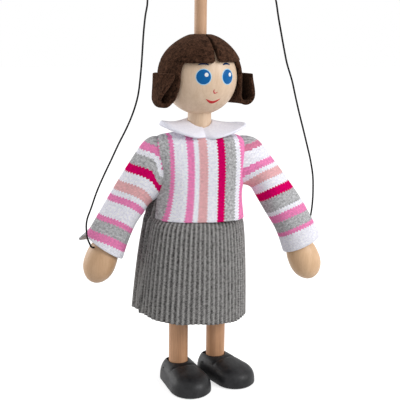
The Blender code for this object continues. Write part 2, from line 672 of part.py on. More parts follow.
def string(side):
    """A string through its route's points and into the hand's hole, on one smooth curve, as a round tube."""
    middle, hang = hand_place(side)
    turn = Matrix.Rotation(hang, 3, "Y")
    rise = STRING_HOLE_RISE[side]
    out = turn @ hole_direction(side)
    surface = hand_radius(2 * rise / HAND_LENGTH) * out + turn @ Vector((0, 0, rise)) + middle
    surface += Vector((side * SHOULDER_HALF_SPAN, 0, SHOULDER_Z))
    points = [tuple(value * MM for value in point) for point in STRING_ROUTES[side]]
    points += [tuple(surface + STRING_LEAD * out), tuple(surface - STRING_SEAT * out)]
    count = STRING_STEPS * (len(points) - 1)
    name = "string_" + SIDE_NAMES[side]
    curve = bpy.data.curves.new(name, "CURVE")
    curve.dimensions = "3D"
    curve.bevel_depth = STRING_DIAMETER / 2
    curve.bevel_resolution = 1
    curve.use_fill_caps = True
    curve.materials.append(STRING)
    line = curve.splines.new("POLY")
    line.points.add(count)
    for i in range(count + 1):
        line.points[i].co = (*between(points, i / count), 1.0)
    place(bpy.data.objects.new(name, curve), PUPPET, TURNED)


def leg(side):
    """A leg with rounded ends on an empty at the hip, and its shoe on an empty at the ankle."""
    side_name = SIDE_NAMES[side]
    hip = empty("hip_" + side_name, None, (side * LEG_SPACING / 2, 0, HIP_Z))
    radius = LEG_DIAMETER / 2
    profile = arc(0, radius, 0, math.pi / 2, 5) + arc(-HIP_TO_ANKLE, radius, math.pi / 2, math.pi, 5)
    piece = place(turned("leg_" + side_name, WOOD, profile, 24), PUPPET, hip)
    hip_hole = cylinder(PIN_DIAMETER / 2 + RUN_GAP, 4 * radius, 16, "X")
    cut(piece, cutter("leg_hip_hole_" + side_name, hip_hole, hip))
    toe_out = side * TOE_OUT[side]
    ankle = empty("ankle_" + side_name, hip, (0, 0, -HIP_TO_ANKLE), (0, 0, toe_out))
    ankle_hole = cylinder(ANKLE_PIN_DIAMETER / 2 + RUN_GAP, 4 * radius, 16, "X")
    cut(piece, cutter("leg_ankle_hole_" + side_name, ankle_hole, ankle))
    pin_radius, half = ANKLE_PIN_DIAMETER / 2, SHOE_WIDTH / 2 - MM
    pin = [(0, half), (pin_radius, half), (pin_radius, -half), (0, -half)]
    place(turned("ankle_pin_" + side_name, STEEL, pin, 16), PUPPET, ankle, (0, 0, 0), (0, math.pi / 2, 0))
    shoe(side_name, ankle)


def shoe(side_name, ankle):
    """A shoe on a round-ended sole with a domed top that falls towards the toe, and a long hole for the leg."""
    heel, toe = SHOE_WIDTH / 2, TOE_WIDTH / 2
    bm = bmesh.new()
    outline = []
    for end, radius, start in ((0, heel, 0), (heel + toe - SHOE_LENGTH, toe, math.pi)):
        for i in range(15):
            angle = start + math.pi * i / 14
            outline.append((radius * math.cos(angle), end + radius * math.sin(angle), 0))
    sole = bm.faces.new([bm.verts.new(point) for point in outline])
    raised = bmesh.ops.extrude_face_region(bm, geom=[sole])["geom"]
    for vert in [part for part in raised if isinstance(part, bmesh.types.BMVert)]:
        vert.co.z = SHOE_HEIGHT
    bmesh.ops.recalc_face_normals(bm, faces=bm.faces[:])
    rims = {height: [] for height in (0, SHOE_HEIGHT)}
    for edge in bm.edges:
        low, high = sorted(vert.co.z for vert in edge.verts)
        if high - low < WELD:
            rims[SHOE_HEIGHT if high > SHOE_HEIGHT / 2 else 0].append(edge)
    for height, width, segments in ((SHOE_HEIGHT, SHOE_DOME, 5), (0, SOLE_BEVEL, 1)):
        bmesh.ops.bevel(
            bm, geom=rims[height], offset=width, offset_type="OFFSET", segments=segments, profile=0.5,
            affect="EDGES",
        )
    for vert in bm.verts:
        vert.co.z *= 1 + SHOE_FALL * vert.co.y / heel * min(vert.co.z / SHOE_HEIGHT, 1)
        vert.co.z -= ANKLE_HEIGHT
    piece = place(from_bmesh("shoe_" + side_name, bm, SHOE_BLACK), PUPPET, ankle)
    leg_radius = LEG_DIAMETER / 2 + RUN_GAP
    depth = ANKLE_HEIGHT + SHOE_HEIGHT
    socket = cylinder(leg_radius, depth, 24)
    for vert in socket.verts:
        if vert.co.y > WELD:
            vert.co.y += HEEL_ROOM
    at = (0, 0, depth / 2 - LEG_DIAMETER / 2 - RUN_GAP)
    cut(piece, cutter("leg_socket_" + side_name, socket, ankle, at))
    pin_hole = cylinder(ANKLE_PIN_DIAMETER / 2 + GLUE_GAP, 2 * SHOE_WIDTH, 16, "X")
    cut(piece, cutter("ankle_hole_" + side_name, pin_hole, ankle))


for old in list(bpy.data.objects):
    bpy.data.objects.remove(old)

PUPPET = collection("puppet")
CUTTERS = collection("cutters")
WOOD = material("wood", (0.42, 0.25, 0.13))
PALE_WOOD = material("pale_wood", (0.60, 0.41, 0.25))
FELT_BROWN = material("felt_brown", (0.03, 0.013, 0.008), 0.95)
FELT_WHITE = material("felt_white", (0.75, 0.74, 0.84), 0.95)
KNIT_GREY = material("knit_grey", (0.55, 0.45, 0.50), 0.95)
KNIT_DARK = material("knit_dark", (0.20, 0.19, 0.19), 0.95)
SHOE_BLACK = material("shoe_black", (0.03, 0.03, 0.032), 0.35)
STEEL = material("steel", (0.6, 0.6, 0.6), 0.3, 1.0)
STRING = material("string_black", (0.01, 0.01, 0.01), 0.8)
TURNED = empty("garment_frame", None, (0, 0, 0), (0, 0, GARMENT_TWIST))

control_bar()
string_knots()
head_rod()
head()
neck()
hair_back()
torso()
sweater()
collar()
skirt()
hip_pin()
for one_side in (LEFT, RIGHT):
    fringe(one_side)
    hair_flip(one_side)
    shoulder_pin(one_side)
    arm(one_side)
    leg(one_side)
    string(one_side)
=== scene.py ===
"""A wooden puppet on a rod and two strings, in felt and knitted wool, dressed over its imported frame."""
import math

import bmesh
import bpy
import numpy as np
from mathutils import Euler, Matrix, Vector


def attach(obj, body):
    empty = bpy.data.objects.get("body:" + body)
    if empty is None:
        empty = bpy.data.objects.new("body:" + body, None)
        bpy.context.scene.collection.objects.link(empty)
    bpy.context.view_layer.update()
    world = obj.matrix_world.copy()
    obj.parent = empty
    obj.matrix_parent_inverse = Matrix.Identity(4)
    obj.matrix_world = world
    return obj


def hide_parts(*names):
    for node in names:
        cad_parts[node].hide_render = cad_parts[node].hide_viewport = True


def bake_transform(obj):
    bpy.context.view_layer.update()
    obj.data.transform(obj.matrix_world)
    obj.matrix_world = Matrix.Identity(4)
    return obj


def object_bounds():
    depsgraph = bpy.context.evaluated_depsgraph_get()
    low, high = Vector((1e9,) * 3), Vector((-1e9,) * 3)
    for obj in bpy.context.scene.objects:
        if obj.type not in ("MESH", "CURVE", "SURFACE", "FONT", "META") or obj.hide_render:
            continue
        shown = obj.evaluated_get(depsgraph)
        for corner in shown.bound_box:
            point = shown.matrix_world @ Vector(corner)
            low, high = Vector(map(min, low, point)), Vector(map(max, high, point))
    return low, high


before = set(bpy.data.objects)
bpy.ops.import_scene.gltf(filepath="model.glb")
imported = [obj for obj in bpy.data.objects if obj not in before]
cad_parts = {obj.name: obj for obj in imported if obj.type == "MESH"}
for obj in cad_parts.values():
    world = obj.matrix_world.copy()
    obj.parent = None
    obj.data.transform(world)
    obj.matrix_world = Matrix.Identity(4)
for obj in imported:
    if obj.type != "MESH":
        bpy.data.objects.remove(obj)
cad_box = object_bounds()
scene = bpy.context.scene
scene.view_settings.view_transform = "Standard"


# The camera stands to the puppet's right, level with the top of its head, and looks a little down on it,
# held slightly askew. It is the photograph's own view, worked out from the rod, the head's ball, the legs
# and the soles.
PHOTO_WIDTH = 400
PHOTO_FOCAL = 730
CAMERA_PLACE = (-0.1674, -0.3589, -0.0737)
CAMERA_AIM = math.radians(-25.12)
CAMERA_TILT = math.radians(11.8)
CAMERA_ROLL = math.radians(0.65)

camera = bpy.data.objects.new("camera", bpy.data.cameras.new("camera"))
scene.collection.objects.link(camera)
camera.location = CAMERA_PLACE
level_aim = Euler((math.pi / 2 - CAMERA_TILT, 0, CAMERA_AIM)).to_matrix()
camera.rotation_euler = (level_aim @ Matrix.Rotation(CAMERA_ROLL, 3, "Z")).to_euler()
camera.data.sensor_width = 36
camera.data.lens = camera.data.sensor_width * PHOTO_FOCAL / PHOTO_WIDTH
scene.camera = camera


# The floor is a plain white sheet under the soles, in a white room with a soft key lamp to the camera's
# right and a weaker one behind the puppet to its left. The room shows white, but lights the puppet by less.
FLOOR_HALF = 6.0
FLOOR_DROP = 0.0002
FLOOR_WHITE = 0.60
FLOOR_GLOW = 0.68
ROOM_LIGHT = 0.62
LAMPS = (
    ("key", (0.60, -0.80, 0.40), 0.55, 7.9),
    ("rim", (-0.74, 0.74, 0.15), 0.70, 6.0),
)
LAMP_AIM = (0, 0, -0.14)


def node(tree, kind, settings=None, **inputs):
    """A shader node: its settings, then its inputs, each a value or the output that feeds it. An input is
    called by its name, or by its number after an underscore."""
    made = tree.nodes.new("ShaderNode" + kind)
    for name, value in (settings or {}).items():
        setattr(made, name, value)
    for name, value in inputs.items():
        socket = made.inputs[int(name[1:])] if name[0] == "_" else made.inputs[name.replace("_", " ")]
        if isinstance(value, bpy.types.NodeSocket):
            tree.links.new(value, socket)
        else:
            socket.default_value = value
    return made


def add(tree, kind, settings=None, **inputs):
    """The first output of a new shader node."""
    return node(tree, kind, settings, **inputs).outputs[0]


def maths(tree, operation, *values):
    """One sum on its values or outputs, in their order."""
    inputs = {"_" + str(i): value for i, value in enumerate(values)}
    return add(tree, "Math", {"operation": operation}, **inputs)


def blend_of(tree, *parts):
    """Outputs added up, each times its own weight."""
    total = 0.0
    for output, weight in parts:
        total = maths(tree, "MULTIPLY_ADD", output, weight, total)
    return total


def ramp(tree, tone, low, dark, high, pale):
    """A tone turned into a colour between two stops."""
    made = node(tree, "ValToRGB", Fac=tone)
    stops = made.color_ramp.elements
    stops[0].position, stops[0].color = low, (*dark, 1)
    stops[1].position, stops[1].color = high, (*pale, 1)
    return made.outputs[0]


def material(name, roughness, gloss=0.0):
    """An empty finish: its material, its node tree and its main shader."""
    made = bpy.data.materials.new(name)
    made.use_nodes = True
    shader = made.node_tree.nodes["Principled BSDF"]
    shader.inputs["Roughness"].default_value = roughness
    shader.inputs["Specular IOR Level"].default_value = gloss
    return made, made.node_tree, shader


def relief(tree, shader, height, strength, distance):
    """Fine relief on a finish: a height that tilts the shader's normal."""
    bump = add(tree, "Bump", Strength=strength, Distance=distance, Height=height)
    tree.links.new(bump, shader.inputs["Normal"])


def shown(tree):
    """One for a ray from the camera or by way of a mirror or glass, nought for a ray that only lights."""
    rays = node(tree, "LightPath").outputs
    seen = maths(tree, "MAXIMUM", rays["Is Camera Ray"], rays["Is Glossy Ray"])
    return maths(tree, "MAXIMUM", seen, rays["Is Transmission Ray"])


floor_finish, floor_tree, floor_shader = material("floor_white", 0.9)
floor_shader.inputs["Base Color"].default_value = (FLOOR_WHITE, FLOOR_WHITE, FLOOR_WHITE, 1)
floor_shader.inputs["Emission Color"].default_value = (1, 1, 1, 1)
floor_glow = maths(floor_tree, "MULTIPLY", shown(floor_tree), FLOOR_GLOW)
floor_tree.links.new(floor_glow, floor_shader.inputs["Emission Strength"])
floor_mesh = bpy.data.meshes.new("floor")
floor_level = cad_box[0][2] - FLOOR_DROP
floor_mesh.from_pydata(
    [(x * FLOOR_HALF, y * FLOOR_HALF, floor_level) for x, y in ((-1, -1), (1, -1), (1, 1), (-1, 1))],
    [], [(0, 1, 2, 3)],
)
floor_mesh.materials.append(floor_finish)
floor = bpy.data.objects.new("floor", floor_mesh)
scene.collection.objects.link(floor)

room = bpy.data.worlds.new("room")
scene.world = room
room.use_nodes = True
room_tree = room.node_tree
strength = maths(room_tree, "MULTIPLY", shown(room_tree), 1 - ROOM_LIGHT)
strength = maths(room_tree, "ADD", strength, ROOM_LIGHT)
room_tree.nodes["Background"].inputs["Color"].default_value = (1, 1, 1, 1)
room_tree.links.new(strength, room_tree.nodes["Background"].inputs["Strength"])

for lamp_name, lamp_place, lamp_size, lamp_power in LAMPS:
    lamp = bpy.data.objects.new("lamp_" + lamp_name, bpy.data.lights.new("lamp_" + lamp_name, "AREA"))
    lamp.data.size = lamp_size
    lamp.data.energy = lamp_power
    lamp.location = lamp_place
    lamp.rotation_euler = (Vector(LAMP_AIM) - lamp.location).to_track_quat("-Z", "Y").to_euler()
    scene.collection.objects.link(lamp)


# The two strings are black braided cord, knotted above the control bar. Each runs through a hole in the bar,
# down past the head and over the cuff into a small hole in its hand, in front on the right and behind on
# the left.
MM = 0.001
GARMENT_TWIST = math.radians(-17)
STRING_DIAMETER = 1.0
STRING_SIDES = 10
STRING_STEPS = 4
BRAID_SLANT = 0.9
BRAID_STRAND = 0.47
STRING_ROUTES = {
    "right": (
        (-31.5, 0, -6.6), (-31.5, 0, -14), (-30.6, 0, -22), (-28.9, 0, -36), (-27.9, 0, -49.9),
        (-29.1, 0, -58), (-30, 0, -66.1), (-30.6, 0, -74.3), (-31.2, 0, -82.6), (-32, 0, -90.9),
        (-33.2, 0, -99.3), (-35.7, 0, -107.8), (-39.3, 0, -116.3), (-43.7, 0, -124.9), (-47.8, 0, -133.6),
        (-52, 0, -142.3), (-55.8, -0.2, -150.9), (-58.9, -1, -159.5), (-61, -2.2, -164.8),
        (-61.7, -3.2, -168.5), (-61.6, -4.8, -171.9), (-61.2, -6.4, -174.9), (-60.3, -6.9, -177.5),
        (-59.02, -5.64, -180.3), (-57.36, -4.32, -180.89),
    ),
    "left": (
        (31.5, 0, -6.6), (31.5, 0, -14), (33, 0.2, -22), (37.2, 1, -36), (40.8, 2, -48.4),
        (42.4, 2, -56.7), (44.2, 2, -65), (46.1, 2, -73.5), (48.2, 2, -82), (51.2, 2, -90.6),
        (53.5, 2, -99.3), (55.9, 2, -108.1), (58.5, 2, -116.9), (61.1, 2, -125.9), (63.6, 2, -135),
        (65.4, 2, -144.2), (66.1, 2.6, -153.6), (66.7, 4.9, -160.8), (67, 7.4, -166.4), (66.9, 9.6, -171.6),
        (66.2, 10.8, -176.2), (65.2, 10.9, -179.8), (64.2, 9.9, -182.1), (63.09, 8.33, -183.43),
        (62.09, 6.43, -183.88),
    ),
}


def through(rows, t):
    """Rows of numbers read at each t from 0 to 1: the Catmull-Rom curve through the rows."""
    rows = np.asarray(rows, float)
    at = np.asarray(t) * (len(rows) - 1)
    first = np.clip(at.astype(int), 0, len(rows) - 2)
    f = (at - first)[..., None]
    before, here = rows[np.maximum(first - 1, 0)], rows[first]
    there, after = rows[first + 1], rows[np.minimum(first + 2, len(rows) - 1)]
    bend = (2 * before - 5 * here + 4 * there - after) * f ** 2
    bend = bend + (3 * here - before - 3 * there + after) * f ** 3
    return here + 0.5 * ((there - before) * f + bend)


def twisted(points, angle):
    """Points turned about the puppet's upright axis."""
    c, s = math.cos(angle), math.sin(angle)
    return points @ np.array(((c, s, 0), (-s, c, 0), (0, 0, 1)))


def joined(*parts):
    """Arrays of x, y and z, or of u and v, spread to one shape and joined point by point."""
    return np.stack(np.broadcast_arrays(*parts), axis=-1)


def unit(vectors):
    """Vectors divided by their own lengths."""
    return vectors / np.linalg.norm(vectors, axis=-1, keepdims=True)


def surface(name, points, finish, uv=None, wrap=False, weld=0.0):
    """A piece on a grid of points in millimetres: each face takes four neighbours of the grid, and the last
    column joins the first where it wraps. A face looks along (down the rows) x (along the columns)."""
    rows, columns = points.shape[:2]
    number = np.arange(rows * columns).reshape(rows, columns)
    if wrap:
        number = np.concatenate((number, number[:, :1]), axis=1)
    corners = (np.s_[:-1, :-1], np.s_[1:, :-1], np.s_[1:, 1:], np.s_[:-1, 1:])
    faces = np.stack([number[c] for c in corners], axis=-1).reshape(-1, 4)
    mesh = bpy.data.meshes.new(name)
    mesh.from_pydata((points.reshape(-1, 3) * MM).tolist(), [], faces.tolist())
    if uv is not None:
        laid = np.stack([uv[c] for c in corners], axis=2)
        mesh.uv_layers.new(name="cloth").uv.foreach_set("vector", laid.astype(np.float32).ravel())
    if weld:
        bm = bmesh.new()
        bm.from_mesh(mesh)
        bmesh.ops.remove_doubles(bm, verts=bm.verts[:], dist=weld * MM)
        bm.to_mesh(mesh)
        bm.free()
    mesh.shade_smooth()
    mesh.materials.append(finish)
    piece = bpy.data.objects.new(name, mesh)
    scene.collection.objects.link(piece)
    return piece


def tube(name, line, radius, sides, finish):
    """A round tube on a line of points, with closed ends, and its length: rings square to the line, which
    keeps near the plane of X and Z, so that Y gives each ring its start."""
    along = unit(np.gradient(line, axis=0))
    across = unit(np.cross(along, (0, 1, 0)))
    deep = np.cross(along, across)
    turn = np.arange(sides) * 2 * math.pi / sides
    ring = across[:, None] * np.cos(turn)[:, None] + deep[:, None] * np.sin(turn)[:, None]
    body = line[:, None] + radius * ring
    top, bottom = (np.repeat(end[None, None], sides, axis=1) for end in (line[0], line[-1]))
    points = np.concatenate((top, body, bottom))
    length = np.concatenate(([0], np.cumsum(np.linalg.norm(np.diff(line, axis=0), axis=1))))
    length = np.concatenate((length[:1], length, length[-1:]))
    around = np.linspace(0, 2 * math.pi * radius, sides + 1)
    uv = joined(around[None, :], length[:, None])
    return surface(name, points[:, ::-1], finish, uv, wrap=True, weld=0.001), length[-1]


def braid(name):
    """Black cord: two slants of strands crossing on the tube's own around and along, each strand's crest
    painted paler as a painted highlight and the grooves darker as painted shade.
    """
    made, tree, shader = material(name, 0.9, 0.1)
    spot = node(tree, "SeparateXYZ", Vector=add(tree, "UVMap", {"uv_map": "cloth"}))
    strands = []
    for slant in (1, -1):
        lean = maths(tree, "MULTIPLY_ADD", spot.outputs[1], BRAID_SLANT * slant, spot.outputs[0])
        strands.append(maths(tree, "SINE", maths(tree, "MULTIPLY", lean, 2 * math.pi / BRAID_STRAND)))
    height = maths(tree, "MAXIMUM", *strands)
    # Painted highlight and shade: paler on the strands' crests, darker in the grooves between them.
    crest_lit_groove_shaded = maths(tree, "MULTIPLY_ADD", height, 0.006, 0.014)
    colour = add(tree, "CombineColor", Red=crest_lit_groove_shaded, Green=crest_lit_groove_shaded, Blue=crest_lit_groove_shaded)
    tree.links.new(colour, shader.inputs["Base Color"])
    relief(tree, shader, height, 0.6, 0.00008)
    return made


string_black = braid("string_black")
for side_name, route in STRING_ROUTES.items():
    steps = STRING_STEPS * (len(route) - 1) + 1
    line = twisted(through(route, np.linspace(0, 1, steps)), GARMENT_TWIST)
    string, length = tube("string_cord_" + side_name, line, STRING_DIAMETER / 2, STRING_SIDES, string_black)
    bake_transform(string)
    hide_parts("string_" + side_name)


# The control bar is a turned stick across the top of the rod, and the rod runs down into the head.
# Both are waxed wood, with the string knots resting on the bar.
ROD_RADIUS = 3.3
ROD_BOTTOM = -84.0
ROD_ROUNDING = 0.6
BAR_RADIUS = 5.5
BAR_HALF = 38.0
BAR_ROUNDING = 1.6
BAR_Z = -12.0
ROD_WOOD = ((0.46, 0.26, 0.145), (0.62, 0.375, 0.225))


def lathe(name, profile, steps, finish, lay=None):
    """A turned piece: (radius, height) pairs from its top round to its bottom, spun about Z, then laid."""
    profile = np.asarray(profile, float)
    turn = np.arange(steps) * 2 * math.pi / steps
    ring = joined(np.cos(turn), np.sin(turn), 0)
    points = profile[:, None, :1] * ring[None] + profile[:, None, 1:] * np.array((0, 0, 1.0))
    if lay is not None:
        points = lay(points)
    return surface(name, points, finish, wrap=True, weld=0.001)


def rounded(radius, top, bottom, rounding, count=5):
    """A stick's profile with both its ends rounded over."""
    turn = np.linspace(0, math.pi / 2, count)
    edge = joined(radius - rounding + rounding * np.sin(turn), rounding * np.cos(turn))
    upper = edge + (0, top - rounding)
    lower = edge[::-1] * (1, -1) + (0, bottom + rounding)
    middle = [(radius, height) for height in np.linspace(top - rounding, bottom + rounding, 12)[1:-1]]
    return [(0, top), *upper, *middle, *lower, (0, bottom)]


def wood(name, dark, pale, grain, roughness=0.5):
    """Bare waxed wood: fine pores and slow streaks drawn out along the grain, with a little gloss."""
    made, tree, shader = material(name, roughness, 0.5)
    spot = node(tree, "TexCoord").outputs["Object"]
    drawn = add(tree, "Mapping", Vector=spot, Scale=grain)
    pores = add(tree, "TexNoise", Vector=drawn, Scale=1500.0, Detail=4.0, Roughness=0.7)
    streaks = add(tree, "TexNoise", Vector=drawn, Scale=330.0, Detail=3.0, Distortion=0.4)
    mottle = add(tree, "TexNoise", Vector=spot, Scale=90.0, Detail=2.0)
    tone = blend_of(tree, (pores, 0.40), (streaks, 0.40), (mottle, 0.20))
    tree.links.new(ramp(tree, tone, 0.36, dark, 0.64, pale), shader.inputs["Base Color"])
    gloss = maths(tree, "MULTIPLY_ADD", pores, 0.25, roughness - 0.10)
    tree.links.new(gloss, shader.inputs["Roughness"])
    relief(tree, shader, pores, 0.2, 0.0001)
    return made


def refinish(node_name, finish):
    """A solid of the frame that stays, given a new finish."""
    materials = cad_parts[node_name].data.materials
    materials.clear()
    materials.append(finish)


rod_wood = wood("rod_wood", *ROD_WOOD, grain=(1, 1, 0.05))
rod = lathe("head_rod_stick", rounded(ROD_RADIUS, 0, ROD_BOTTOM, ROD_ROUNDING), 40, rod_wood)
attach(rod, "puppet_body")
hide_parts("head_rod")

bar_wood = wood("bar_wood", *ROD_WOOD, grain=(0.06, 1, 1))


def laid_across(points):
    """The stick's own Z turned to the puppet's left, with the garment's twist."""
    turned = joined(points[..., 2], points[..., 1], -points[..., 0] + BAR_Z)
    return twisted(turned, GARMENT_TWIST)


bar_profile = rounded(BAR_RADIUS, BAR_HALF, -BAR_HALF, BAR_ROUNDING)
bar = lathe("control_bar_stick", bar_profile, 48, bar_wood, laid_across)
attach(bar, "puppet_body")
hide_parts("control_bar")
for side_name in STRING_ROUTES:
    refinish("bar_knot_" + side_name, string_black)


# The head is a turned ball of pale wood, with the rod let into its top and the neck into its bottom.
# The neck is a dowel of the same wood that runs down into the torso.
HEAD_RADIUS = 20.0
HEAD_Z = -89.1
NECK_RADIUS = 6.4
NECK_TOP = -102.1
NECK_BOTTOM = -132.5
NECK_ROUNDING = 0.5
PALE_WOOD = ((0.62, 0.44, 0.295), (0.76, 0.58, 0.43))

ball = np.linspace(0, math.pi, 56)
head_profile = joined(HEAD_RADIUS * np.sin(ball), HEAD_Z + HEAD_RADIUS * np.cos(ball))
head_wood = wood("head_wood", *PALE_WOOD, grain=(1, 1, 0.2), roughness=0.45)
head = lathe("head_ball", head_profile, 96, head_wood)
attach(head, "puppet_body")
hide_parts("head")
neck = lathe("neck_dowel", rounded(NECK_RADIUS, NECK_TOP, NECK_BOTTOM, NECK_ROUNDING), 48, head_wood)
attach(neck, "puppet_body")
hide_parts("neck")


# The face is painted on the ball in thick enamel: round blue eyes with a pale rim and a white glint,
# two thin brows, a small curl for the nose and a red crescent for the mouth.
SIDES = ((1, "left"), (-1, "right"))
PAINT_LIFT = 0.16
PAINT_SINK = 0.08
RIM_LIFT = 0.10
GLINT_LIFT = 0.24
FACE_TURN = math.radians(1.0)
EYE_AROUND = math.radians(20.5)
EYE_UP = math.radians(2.2)
EYE_RADIUS = 4.25
EYE_RIM = 0.35
GLINT_RADIUS = 1.3
GLINT_AT = (1.45, 1.05)
BROW_START = math.radians(12.5)
BROW_SPAN = math.radians(16)
BROW_UP = math.radians(19.8)
BROW_ARCH = math.radians(2)
BROW_HALF_WIDTH = 0.62
NOSE_UP = math.radians(-19.5)
NOSE_HOOK = ((-0.9, 1.1), (-1.15, 0.1), (-0.45, -0.95), (1.0, -0.45))
NOSE_HALF_WIDTH = 0.42
MOUTH_START = math.radians(-14)
MOUTH_SPAN = math.radians(27.7)
MOUTH_UP = math.radians(-32)
MOUTH_SAG = math.radians(6.4)
MOUTH_TIP = 0.06
MOUTH_FULLNESS = 0.92
FACE_COLOURS = {
    "eye_rim": (0.40, 0.68, 0.87), "eye_blue": (0.0, 0.115, 0.36), "glint": (0.9, 0.9, 0.9),
    "brow": (0.005, 0.028, 0.10), "nose": (0.62, 0.10, 0.11), "mouth": (0.58, 0.03, 0.035),
}


def on_head(around, up, radius):
    """Points round the head from its face towards its left side, at an angle up from its middle."""
    level = radius * np.cos(up)
    return joined(level * np.sin(around), -level * np.cos(around), radius * np.sin(up) + HEAD_Z)


def enamel(name, colour):
    """Brushed enamel: one colour with a slow unevenness of tone and a soft gloss."""
    made, tree, shader = material(name, 0.32, 0.15)
    spot = node(tree, "TexCoord").outputs["Object"]
    uneven = add(tree, "TexNoise", Vector=spot, Scale=700.0, Detail=3.0)
    thin = [part * 0.82 for part in colour]
    tree.links.new(ramp(tree, uneven, 0.3, thin, 0.7, colour), shader.inputs["Base Color"])
    relief(tree, shader, uneven, 0.2, 0.00005)
    return made


def paint_dot(name, around, up, radius, lift, colour):
    """A round dab: rings about its centre on the ball, raised in the middle and sunk at its edge."""
    out = np.linspace(0, 1, 9)[:, None]
    turn = -np.arange(40)[None, :] * 2 * math.pi / 40
    spread = radius / HEAD_RADIUS * out
    raised = HEAD_RADIUS + lift - (lift + PAINT_SINK) * out ** 6
    points = on_head(around + spread * np.cos(turn) / math.cos(up), up + spread * np.sin(turn), raised)
    dot = surface(name, points, enamel("enamel_" + name, colour), wrap=True, weld=0.001)
    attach(dot, "puppet_body")


def paint_stroke(name, line, half_width, colour):
    """A brush stroke: a line of (around, up) angles on the ball, with a half width in millimetres at each
    point, raised along its middle and sunk at its edges."""
    line = np.asarray(line, float)
    stretch = np.cos(line[:, 1:])
    along = unit(np.gradient(line, axis=0) * np.concatenate((stretch, np.ones_like(stretch)), axis=1))
    normal = joined(-along[:, 1], along[:, 0])
    t = np.linspace(-1, 1, 9)
    offset = normal[:, None] * (half_width[:, None] * t)[..., None] / HEAD_RADIUS
    around = line[:, None, 0] + offset[..., 0] / stretch
    up = line[:, None, 1] + offset[..., 1]
    raised = HEAD_RADIUS + PAINT_LIFT - (PAINT_LIFT + PAINT_SINK) * t ** 4
    stroke = surface(name, on_head(around, up, raised)[:, ::-1], enamel("enamel_" + name, colour))
    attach(stroke, "puppet_body")


for side, side_name in SIDES:
    at = side * EYE_AROUND + FACE_TURN
    paint_dot("eye_rim_" + side_name, at, EYE_UP, EYE_RADIUS + EYE_RIM, RIM_LIFT, FACE_COLOURS["eye_rim"])
    paint_dot("eye_blue_" + side_name, at, EYE_UP, EYE_RADIUS, PAINT_LIFT, FACE_COLOURS["eye_blue"])
    glint_around = at + GLINT_AT[0] / HEAD_RADIUS
    glint_up = EYE_UP + GLINT_AT[1] / HEAD_RADIUS
    glint_name = "eye_glint_" + side_name
    paint_dot(glint_name, glint_around, glint_up, GLINT_RADIUS, GLINT_LIFT, FACE_COLOURS["glint"])
    t = np.linspace(0, 1, 24)
    brow = joined(side * (BROW_START + BROW_SPAN * t), BROW_UP + BROW_ARCH * np.sin(math.pi * t))
    brow_width = BROW_HALF_WIDTH * np.sin(math.pi * np.clip(t, 0.06, 0.94)) ** 0.4
    paint_stroke("brow_" + side_name, brow[::side] + (FACE_TURN, 0), brow_width, FACE_COLOURS["brow"])

t = np.linspace(0, 1, 40)
hook = through(NOSE_HOOK, t) / HEAD_RADIUS
hook = hook / (math.cos(NOSE_UP), 1) + (FACE_TURN, NOSE_UP)
nose_width = NOSE_HALF_WIDTH * np.sin(math.pi * np.clip(t, 0.1, 0.9)) ** 0.5
paint_stroke("nose", hook, nose_width, FACE_COLOURS["nose"])
smile = joined(MOUTH_START + MOUTH_SPAN * t, MOUTH_UP - MOUTH_SAG * np.sin(math.pi * t))
smile_width = MOUTH_TIP + MOUTH_FULLNESS * np.sin(math.pi * t) ** 0.8
paint_stroke("mouth", smile, smile_width, FACE_COLOURS["mouth"])


# The hair is thick brown felt glued to the ball: two halves of a cap that leave a parting over the face,
# a strip down each side whose end turns outwards and up, and a straight fall at the back.
FELT = 2.4
GLUE_GAP = 0.7
STRIP_FELT = 2.2
STRIP_GAP = 0.5
HAIR_SEAM = -0.6
CAP_EDGES = {"left": math.radians(22.5), "right": math.radians(20.5)}
BACK_EDGE = math.radians(21.5)
FRINGE_TOP = math.radians(77)
PARTING = 0.4
PARTING_SPREAD = 0.6
PARTING_CURVE = 1.2
PARTING_LAP = 0.1
PARTING_CORNER = math.radians(2.2)
CAP_CROWDING = 1.2
CAP_LUMP = 0.12
CAP_DENT = 0.6
CAP_DENT_UP = 0.95
CAP_DENT_REACH = 0.35
CAP_DENT_START = 0.9
STRIP_FRONT = -13.2
STRIP_BACK = 9.0
FLIP_SPREAD = 26.2
FLIP_TAPER = 4.2
FLIP_LEANS = {"left": (0.3, 0.2), "right": (0.9, 0.2)}
FLIP_DROPS = {"left": 14.6, "right": 15.8}
FLIP_RISE = 2.2
FLIP_BACK_LIFTS = {"left": 0.0, "right": 5.5}
STRIP_SLANTS = {"left": 0.5, "right": 8.0}
BACK_HAIR_START = math.radians(116.5)
BACK_BLEND = math.radians(35)
BACK_HAIR_DROP = 14.0
HAIR_BROWN = ((0.006, 0.0025, 0.0015), (0.092, 0.043, 0.026))
HAIR_SHEEN = (0.45, 0.28, 0.20, 1)


def felt(name, dark, pale, sheen, tint):
    """Pressed felt: matted fibres in two sizes of noise, with a soft sheen at its edges."""
    made, tree, shader = material(name, 1.0)
    spot = node(tree, "TexCoord").outputs["Object"]
    fibre = add(tree, "TexNoise", Vector=spot, Scale=850.0, Detail=5.0, Roughness=0.8, Distortion=0.8)
    clump = add(tree, "TexNoise", Vector=spot, Scale=260.0, Detail=4.0, Roughness=0.6)
    tone = blend_of(tree, (fibre, 0.75), (clump, 0.25))
    tree.links.new(ramp(tree, tone, 0.42, dark, 0.60, pale), shader.inputs["Base Color"])
    relief(tree, shader, tone, 0.8, 0.0003)
    shader.inputs["Sheen Weight"].default_value = sheen
    shader.inputs["Sheen Roughness"].default_value = 0.6
    shader.inputs["Sheen Tint"].default_value = tint
    return made


def thickened(piece, thickness, offset=-1.0, rounds=2):
    """Cloth's thickness behind its outer face, with its edges rounded over by subdivision."""
    wall = piece.modifiers.new("Thickness", "SOLIDIFY")
    wall.thickness = thickness * MM
    wall.offset = offset
    wall.use_even_offset = True
    if rounds:
        soft = piece.modifiers.new("Soft edges", "SUBSURF")
        soft.levels = rounds
        soft.render_levels = rounds


